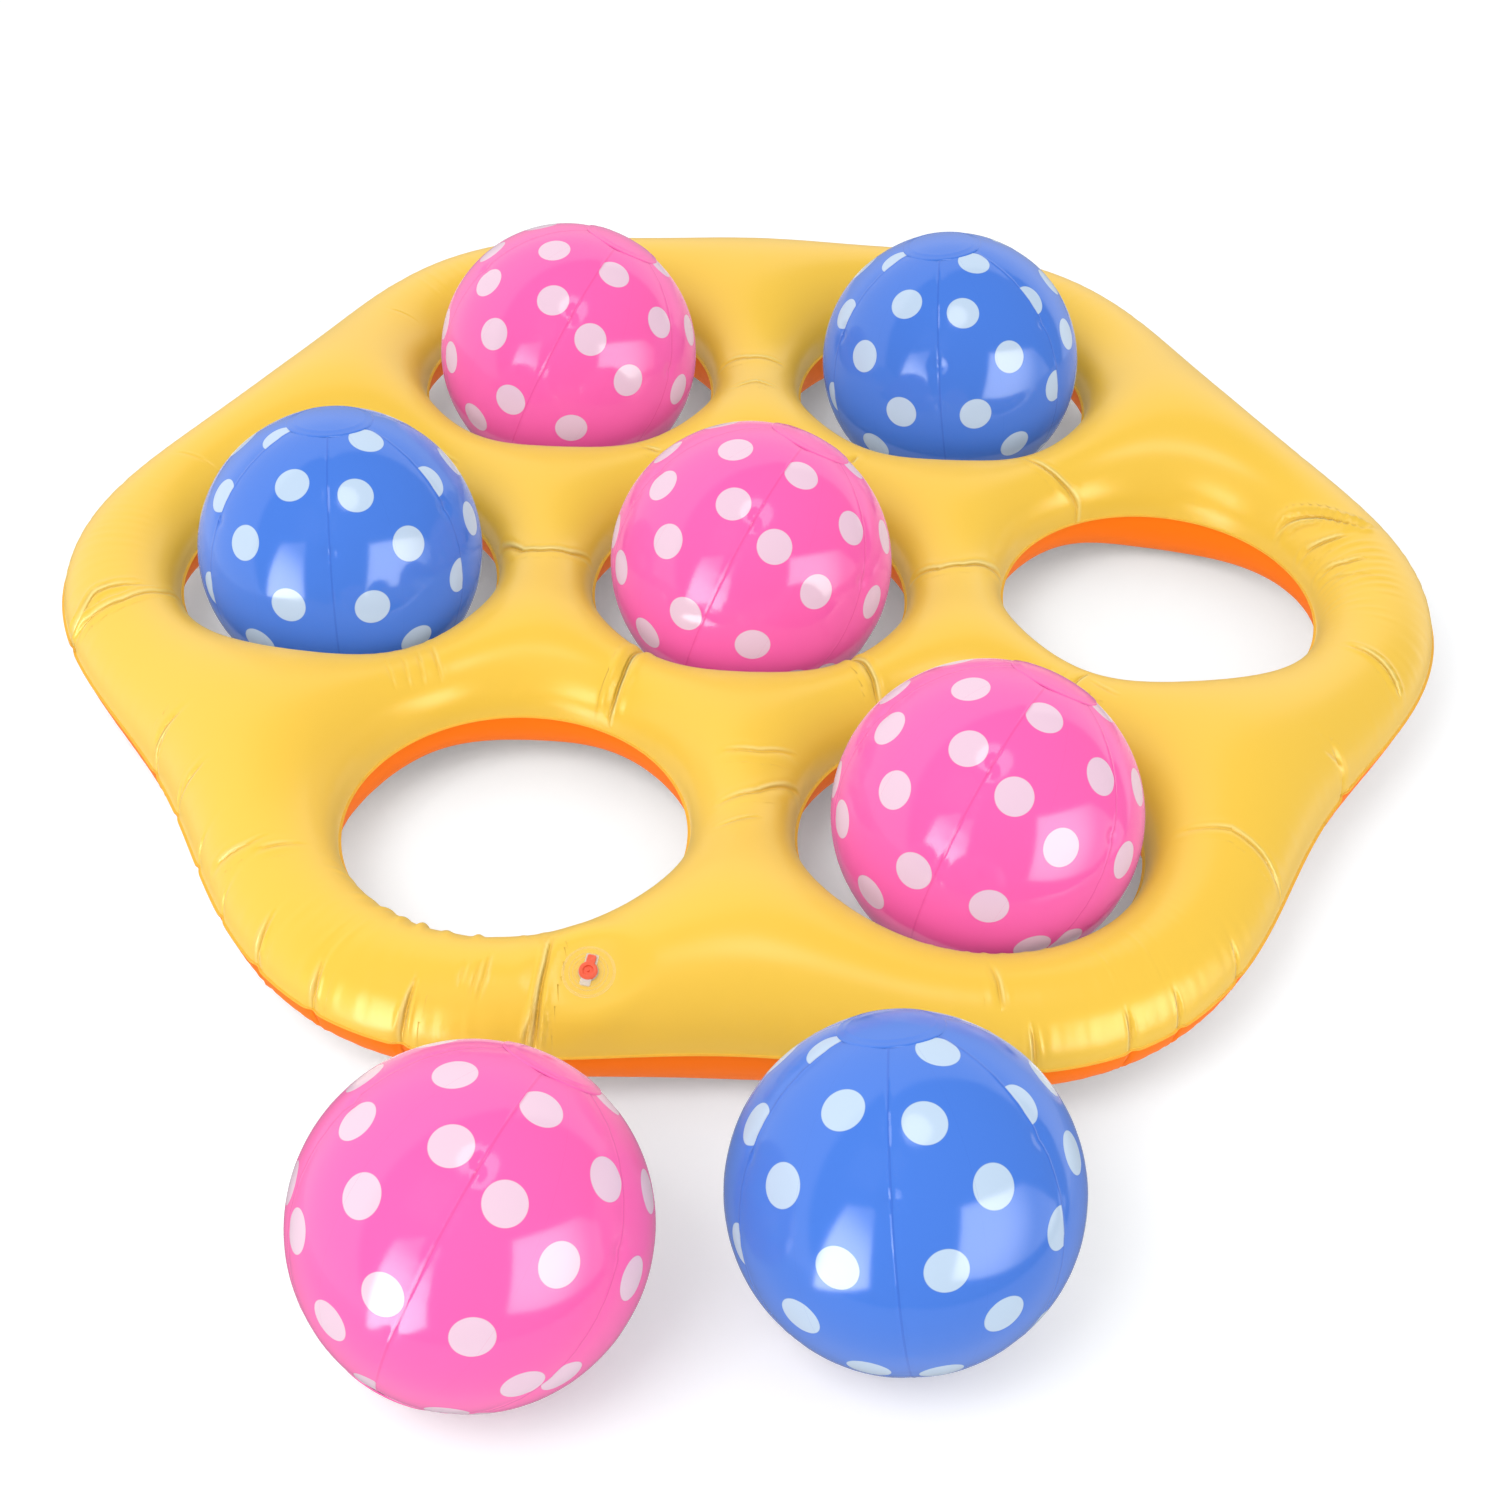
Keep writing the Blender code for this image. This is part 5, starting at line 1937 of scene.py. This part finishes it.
class Valve:
    """An inflation valve: a welded flange, a stem that pulls out and a plug on a strap."""

    def __init__(self, sizes: ValveSizes, name: str, seat: Matrix, owner: str, finishes: "Finishes") -> None:
        """Takes the valve's sizes and its place.

        Args:
            sizes: Sizes of the valve.
            name: Prefix of its CAD nodes and bodies.
            seat: Matrix of the seat, z out of the film and x towards the strap's hinge.
            owner: Body that the flange is welded to.
            finishes: Finishes of the game.
        """
        self.sizes = sizes
        self.name = name
        self.seat = seat
        self.owner = owner
        self.finishes = finishes

    def turned(self, profile: Points, closed: bool = True) -> tuple[Points, Faces]:
        """A profile turned about z, with its outer side running down.

        Args:
            profile: Pairs of radius and height.
            closed: Whether the last pair joins the first.

        Returns:
            Points and faces.
        """
        sides = self.sizes.sides
        turns = TAU * np.arange(sides) / sides
        points, faces = [], []
        for radius, height in profile:
            points += [(radius * math.cos(turn), radius * math.sin(turn), height) for turn in turns]
        count = len(profile)
        for row in range(count if closed else count - 1):
            near, far = row * sides, (row + 1) % count * sides
            for side in range(sides):
                beside = (side + 1) % sides
                faces.append((near + side, far + side, far + beside, near + beside))
        return points, faces

    @staticmethod
    def join(points: Points, faces: Faces, more: tuple[Points, Faces]) -> None:
        """Adds a second shape to a first."""
        faces += [tuple(number + len(points) for number in face) for face in more[1]]
        points += more[0]

    def piece(self, end: str, shape: tuple[Points, Faces], slot: Slot, body: str, thickness: Values = 1.0) -> None:
        """Makes one piece of the valve in the row frame.

        Args:
            end: Last word of its name.
            shape: Points in the seat's frame, and faces.
            slot: Its slot.
            body: Body that it rides on.
            thickness: How much the clear vinyl covers, from 0 to 1, one number or one per point.
        """
        points, faces = shape
        piece = make_mesh(f"{self.name}_moulded_{end}", [self.seat @ Vector(point) for point in points], faces, 40.0)
        add_values(piece, "thickness", np.broadcast_to(thickness, len(points)))
        nodes = [] if end == "pull_tab" else [f"{self.name}_{end}"]
        dress(piece, self.finishes.moulded[slot], slot, body, *nodes)

    def build_flange(self) -> None:
        """The clear patch with raised rings near its edge and round the stem."""
        sizes = self.sizes
        low = sizes.seat_gap
        top = low + sizes.flange_thickness
        outer, inner = sizes.flange_radius, sizes.bore_radius
        profile = [(outer - 0.0002, top - 0.0002), (outer, low), (inner, low), (inner, top)]
        thickness = [0.5, 0.0, 0.0, 0.3]
        for radius in (outer * 0.58, outer * 0.72, outer - 0.0016):
            half, ridge = sizes.ring_half, top + sizes.ring_rise
            profile += [(radius - half, top), (radius, ridge), (radius + half, top)]
            thickness += [0.0, 0.45, 0.0]
        self.piece("flange", self.turned(profile), Slot.CLEAR, self.owner, np.repeat(thickness, sizes.sides))

    def build_stem(self) -> None:
        """The clear tube with its collar, lip and the lug that holds the strap."""
        sizes = self.sizes
        bottom = 2 * sizes.seat_gap + sizes.flange_thickness
        top = bottom + sizes.collar_thickness
        edge = 0.0003
        profile = [
            (sizes.collar_radius - edge, top),
            (sizes.collar_radius, top - edge),
            (sizes.collar_radius, bottom + edge),
            (sizes.collar_radius - edge, bottom),
            (sizes.stem_radius, bottom),
            (sizes.stem_radius, -sizes.stem_depth),
            (sizes.stem_bore, -sizes.stem_depth),
            (sizes.stem_bore, top - edge),
            (sizes.stem_bore + edge, top),
        ]
        points, faces = self.turned(profile)
        start, stop = sizes.collar_radius - 0.0012, sizes.strap_length + 0.0015
        self.join(points, faces, self.slab(start, stop, sizes.lug_width / 2, (bottom, top), 0.0012))
        self.piece("stem", (points, faces), Slot.CLEAR, self.name + "_stem_body")

    @staticmethod
    def slab(start: float, stop: float, half: float, heights: tuple, corner: float) -> tuple[Points, Faces]:
        """A flat bar along x with rounded corners at its far end and softened edges.

        Args:
            start: Where it starts along x.
            stop: Where it ends.
            half: Half its width.
            heights: Heights of its underside and its top.
            corner: Radius of its corners.

        Returns:
            Points and faces.
        """
        turns = [math.pi / 2 * step / 6 for step in range(1, 6)]
        outline = [(start, -half), (stop - corner, -half)]
        outline += [(stop - corner + corner * math.sin(turn), -half + corner * (1 - math.cos(turn))) for turn in turns]
        outline += [(stop, -half + corner), (stop, half - corner)]
        outline += [(stop - corner + corner * math.cos(turn), half - corner * (1 - math.sin(turn))) for turn in turns]
        outline += [(stop - corner, half), (start, half)]
        low, high = heights
        edge = 0.18 * (high - low)
        middle, points, count = (start + stop) / 2, [], len(outline)
        for height, inset in ((low, edge), (low + edge, 0.0), (high - edge, 0.0), (high, edge)):
            for x, y in outline:
                points.append((x - math.copysign(inset, x - middle), y - math.copysign(inset, y), height))
        faces = [tuple(range(count))[::-1], tuple(range(3 * count, 4 * count))]
        for level in range(3):
            near, far = level * count, (level + 1) * count
            for number in range(count):
                beside = (number + 1) % count
                faces.append((near + number, near + beside, far + beside, far + number))
        return points, faces

    def build_plug(self) -> None:
        """The coloured cap with a dished top, its spigot, the strap that holds it and a clear pull tab."""
        sizes = self.sizes
        bottom = 3 * sizes.seat_gap + sizes.flange_thickness + sizes.collar_thickness
        top = bottom + sizes.cap_thickness
        cap, edge = sizes.cap_radius, 0.0004
        spigot, tip = sizes.stem_bore - sizes.seat_gap, bottom - sizes.spigot_length
        profile = [
            (0.0001, top + 0.0002),
            (cap * 0.10, top),
            (cap * 0.16, top - sizes.dish_depth),
            (cap * 0.50, top - sizes.dish_depth),
            (cap * 0.58, top + 0.0003),
            (cap * 0.72, top + 0.0003),
            (cap - edge, top - 0.0002),
            (cap, top - edge),
            (cap, bottom + edge / 2),
            (cap - edge, bottom),
            (spigot, bottom),
            (spigot - 0.0004, tip + 0.0004),
            (spigot - 0.0009, tip),
            (0.0001, tip),
        ]
        points, faces = self.turned(profile, closed=False)
        sides, body = sizes.sides, self.name + "_plug_body"
        faces += [tuple(range(sides)), tuple(range(len(points) - sides, len(points)))[::-1]]
        stop, strap = sizes.strap_length + sizes.strap_thickness / 2, (bottom, bottom + sizes.strap_thickness)
        self.join(points, faces, self.slab(cap - 0.001, stop, sizes.strap_width / 2, strap, 0.0015))
        self.piece("plug", (points, faces), Slot.RED, body)
        stop, heights = cap + sizes.pull_length, (bottom, top - edge)
        points, faces = self.slab(cap - 0.0008, stop, sizes.pull_width / 2, heights, 0.0016)
        self.piece("pull_tab", ([(-x, -y, z) for x, y, z in points], faces), Slot.CLEAR, body)

    def build(self) -> None:
        """Makes the valve's pieces."""
        self.build_flange()
        self.build_stem()
        self.build_plug()


# The finishes of the game


@dataclass
class Finishes:
    """All materials of the game, by slot."""

    effects: Effects
    dot_radius: float
    board: dict = field(default_factory=dict)
    films: dict = field(default_factory=dict)
    plain_films: dict = field(default_factory=dict)
    moulded: dict = field(default_factory=dict)

    def __post_init__(self) -> None:
        """Builds every material."""
        yellow = BoardFilmFinish(
            "yellow_film",
            Slot.YELLOW,
            colour=(0.87, 0.545, 0.046, 1.0),
            weld_colour=(0.86, 0.40, 0.018, 1.0),
            painted_crease_shade=(0.74, 0.36, 0.014, 1.0),
            painted_lip_highlight=(0.98, 0.80, 0.30, 1.0),
            light=FilmLight((0.93, 0.84, 0.74, 1.0)),
            ior=1.6,
            roughness=0.31,
        )
        orange = BoardFilmFinish(
            "orange_film",
            Slot.ORANGE,
            colour=(1.0, 0.185, 0.004, 1.0),
            weld_colour=(0.90, 0.17, 0.006, 1.0),
            painted_crease_shade=(0.75, 0.09, 0.004, 1.0),
            painted_lip_highlight=(1.0, 0.26, 0.02, 1.0),
            # A stronger painted glow lifts the shaded underside of the orange film.
            light=FilmLight((0.86, 0.82, 0.78, 1.0), painted_glow=0.26),
            ior=1.15,
            roughness=0.4,
        )
        pink = BallFilmFinish(
            "pink_film",
            Slot.PINK,
            colour=(0.94, 0.116, 0.420, 1.0),
            dot_colour=(0.78, 0.55, 0.67, 1.0),
            line_colour=(0.70, 0.16, 0.33, 1.0),
            seam_colour=(0.72, 0.06, 0.28, 1.0),
        )
        blue = BallFilmFinish(
            "blue_film",
            Slot.BLUE,
            colour=(0.056, 0.186, 0.680, 1.0),
            dot_colour=(0.48, 0.61, 0.77, 1.0),
            line_colour=(0.10, 0.22, 0.55, 1.0),
            seam_colour=(0.03, 0.11, 0.52, 1.0),
        )
        clear = MouldedFinish(
            "clear_vinyl", Slot.CLEAR, (0.80, 0.74, 0.66, 1.0), 0.14, thin_cover=0.015, thick_cover=0.55
        )
        red = MouldedFinish("red_vinyl", Slot.RED, (0.93, 0.135, 0.060, 1.0), 0.30, subsurface=0.1)
        for finish in (yellow, orange):
            self.board[finish.slot] = finish.build(self.effects)
        for finish in (pink, blue):
            self.films[finish.slot] = finish.build(self.effects, self.dot_radius)
            self.plain_films[finish.slot] = finish.build(self.effects, 0.0)
        for finish in (clear, red):
            self.moulded[finish.slot] = finish.build(self.effects)


# Studio


@dataclass(frozen=True)
class Lamp:
    """A soft lamp, given by its direction from the board, its size as seen from there, and its brightness.

    Directions and sizes are in degrees. A lamp either lights the surfaces or shows in their gloss.
    """

    name: str
    azimuth: float
    elevation: float
    width: float
    height: float
    brightness: float
    in_gloss: bool
    distance: float = 3.4
    shape: str = "RECTANGLE"
    target: tuple = (0.0, 0.0, 0.12)

    def build(self) -> None:
        """Adds the lamp to the scene."""
        data = bpy.data.lights.new(self.name, "AREA")
        data.shape = self.shape
        data.size = 2 * self.distance * math.tan(math.radians(self.width / 2))
        data.size_y = 2 * self.distance * math.tan(math.radians(self.height / 2))
        area = data.size * data.size_y * (1.0 if self.shape == "RECTANGLE" else math.pi / 4)
        data.energy = self.brightness * math.pi * area
        lamp = bpy.data.objects.new(self.name, data)
        way = direction(self.azimuth, self.elevation)
        lamp.location = Vector(self.target) + way * self.distance
        lamp.rotation_euler = way.to_track_quat("Z", "Y").to_euler()
        lamp.visible_diffuse = not self.in_gloss
        lamp.visible_glossy = lamp.visible_transmission = self.in_gloss
        bpy.context.scene.collection.objects.link(lamp)


LAMPS = (
    Lamp("ceiling_lamp", -75.0, 79.0, 20.0, 20.0, 3.2, True, shape="ELLIPSE"),
    Lamp("key_light", -122.0, 52.0, 24.0, 24.0, 4.9, False),
)


@dataclass(frozen=True)
class Window:
    """A bright window that only glossy surfaces show.

    Corners and the brightest place are azimuths and elevations in degrees.
    """

    corners: tuple
    brightest: tuple
    brightness: float
    spread: float
    softness: float = 0.035
    least_share: float = 0.2

    def light(self, nodes: Nodes, way: Socket) -> Socket:
        """Brightness seen in a direction.

        Args:
            nodes: Nodes of the world.
            way: Socket of the direction.

        Returns:
            Output socket.
        """
        corners = [direction(*corner) for corner in self.corners]
        middle = sum(corners, Vector())
        inside = None
        for corner, beside in zip(corners, corners[1:] + corners[:1]):
            normal = corner.cross(beside).normalized()
            away = nodes.dot(way, normal if normal.dot(middle) > 0 else -normal)
            inside = away if inside is None else nodes.math("MINIMUM", inside, away)
        shown = nodes.step(inside, 0.0, self.softness)
        near = nodes.step(nodes.dot(way, direction(*self.brightest)), math.cos(math.radians(self.spread)), 1.0)
        more, least = (1 - self.least_share) * self.brightness, self.least_share * self.brightness
        return nodes.times(shown, nodes.math("MULTIPLY_ADD", near, more, least))


WINDOWS = (
    Window(((-138, 30), (-112, 40), (-108, -14), (-142, -31)), (-134, -8), 9.0, 44.0),
    Window(((-52, 36), (-5, 17), (14, -19), (-67, -7)), (-48, 18), 6.2, 46.0),
)


@dataclass(frozen=True)
class Studio:
    """Camera, lamps, floor and surroundings."""

    lens: float = 62.4
    sensor: float = 36.0
    camera_place: tuple = (-0.0073, -1.6759, 1.5101)
    camera_right: tuple = (0.9994, 0.0187, 0.0290)
    camera_up: tuple = (-0.0341, 0.6629, 0.7479)
    floor_reach: float = 9.0
    ambient: float = 0.84
    floor_lift: float = 0.16
    wall_side: tuple = (-0.44, 0.77, -0.46)
    dim_side: tuple = (0.0, 0.75, -0.66)
    dim_edge: tuple = (0.45, 0.97)
    dimming: float = 0.65
    wall_edge: float = 0.04
    wall_gain: float = 0.95
    wall_least: float = 0.30
    table_edge: tuple = (-0.41, -0.44)
    table_light: float = 0.75
    line_drop: float = 0.39
    line_half: float = 0.03
    line_dimming: float = 0.5
    floor_colour: tuple = (0.95, 0.95, 0.95, 1.0)
    floor_seen_colour: tuple = (0.965, 0.985, 1.0, 1.0)

    def build(self) -> None:
        """Makes the whole studio."""
        self.build_camera()
        self.build_floor()
        self.build_world()
        for lamp in LAMPS:
            lamp.build()
        bpy.context.scene.view_settings.view_transform = "Standard"

    def build_camera(self) -> None:
        """The camera at the photograph's angle."""
        data = bpy.data.cameras.new("camera")
        data.lens = self.lens
        data.sensor_width = self.sensor
        camera = bpy.data.objects.new("camera", data)
        right, up = Vector(self.camera_right).normalized(), Vector(self.camera_up)
        back = right.cross(up).normalized()
        up = back.cross(right)
        rotation = Matrix((right, up, back)).transposed().to_4x4()
        camera.matrix_world = Matrix.Translation(self.camera_place) @ rotation
        bpy.context.scene.collection.objects.link(camera)
        bpy.context.scene.camera = camera

    def build_floor(self) -> None:
        """The plain pale floor, which shows brighter to the camera than it lights the object."""
        reach = self.floor_reach
        points = [(-reach, -reach, 0.0), (reach, -reach, 0.0), (reach, reach, 0.0), (-reach, reach, 0.0)]
        floor = make_mesh("floor", points, [(0, 1, 2, 3)])
        surface = Surface("floor")
        path = surface.add("ShaderNodeLightPath").outputs
        place = surface.add("ShaderNodeTexCoord").outputs["Object"]
        cloud = surface.math("MULTIPLY_ADD", surface.noise(place, 2.0), 0.01, 0.985)
        pale = surface.mix(path["Is Camera Ray"], self.floor_colour, self.floor_seen_colour)
        surface.set(
            Base_Color=surface.add("ShaderNodeHueSaturation", Color=pale, Value=cloud).outputs["Color"],
            Roughness=0.9,
            Specular_IOR_Level=0.0,
            Emission_Color=WHITE,
            Emission_Strength=surface.times(path["Is Camera Ray"], self.floor_lift),
            Alpha=surface.inverse(path["Is Glossy Ray"]),
        )
        floor.data.materials.append(surface.material)

    def build_world(self) -> None:
        """Even light, walls and windows for glossy surfaces, and white behind the object for the camera alone."""
        world = bpy.data.worlds.new("studio")
        bpy.context.scene.world = world
        world.use_nodes = True
        nodes = Nodes(world.node_tree)
        path = nodes.add("ShaderNodeLightPath").outputs
        way = nodes.add("ShaderNodeTexCoord").outputs["Generated"]
        height = nodes.add("ShaderNodeSeparateXYZ", Vector=way).outputs["Z"]
        wall = nodes.step(nodes.dot(way, self.wall_side), -self.wall_edge, self.wall_edge)
        table = nodes.step(height, *self.table_edge)
        off_line = nodes.math("ABSOLUTE", nodes.math("ADD", height, self.line_drop))
        line = nodes.inverse(nodes.step(off_line, 0.0, self.line_half))
        behind = nodes.step(nodes.dot(way, self.dim_side), *self.dim_edge)
        bright = nodes.math("MULTIPLY_ADD", wall, self.wall_gain, self.wall_least)
        bright = nodes.times(bright, nodes.math("MULTIPLY_ADD", line, -self.line_dimming, 1.0))
        bright = nodes.times(bright, nodes.inverse(table))
        bright = nodes.math("MULTIPLY_ADD", table, self.table_light, bright)
        bright = nodes.times(bright, nodes.math("MULTIPLY_ADD", behind, -self.dimming, 1.0))
        for window in WINDOWS:
            bright = nodes.math("ADD", bright, window.light(nodes, way))
        gloss = nodes.add("ShaderNodeCombineColor", Red=bright, Green=bright, Blue=bright).outputs["Color"]
        colour = nodes.mix(path["Is Glossy Ray"], (self.ambient, self.ambient, self.ambient, 1.0), gloss)
        colour = nodes.mix(path["Is Camera Ray"], colour, WHITE)
        shader = world.node_tree.nodes["Background"]
        nodes.feed(shader.inputs["Color"], colour)
        shader.inputs["Strength"].default_value = 1.0


# The whole game


TOP_GRID = GridSizes(rim=(250, 190, 190, 210, 300, 300), side=84, inner=76, rows=15)
BOTTOM_GRID = GridSizes(rim=(120, 96, 96, 110, 170, 170), side=42, inner=38, rows=12)
BOARD_VALVE_SEAT = Matrix(
    (
        (0.19687, -0.97795, -0.06974, -0.10983),
        (0.88501, 0.20787, -0.41658, -0.36097),
        (0.42189, 0.0203, 0.90642, 0.12234),
        (0.0, 0.0, 0.0, 1.0),
    )
)


def main() -> None:
    """Builds the looks of the game over the frame."""
    logging.basicConfig(level=logging.INFO, format="%(name)s: %(message)s")
    board_sizes, ball_sizes = BoardSizes(), BallSizes()
    finishes = Finishes(Effects(), ball_sizes.dot_radius)
    for side, grid, word, slot in (
        (Side.TOP, TOP_GRID, "top", Slot.YELLOW),
        (Side.BOTTOM, BOTTOM_GRID, "bottom", Slot.ORANGE),
    ):
        film = BoardFilm(board_sizes, grid, side)
        film.build(f"board_{word}_film", finishes.board[slot], slot, f"{word}_sheet")
    Valve(ValveSizes(board_sizes.flange_radius), "board_valve", BOARD_VALVE_SEAT, "board", finishes).build()
    for place in BALLS:
        Ball(ball_sizes, place, finishes).build()
    Studio().build()


if __name__ == "__main__":
    main()
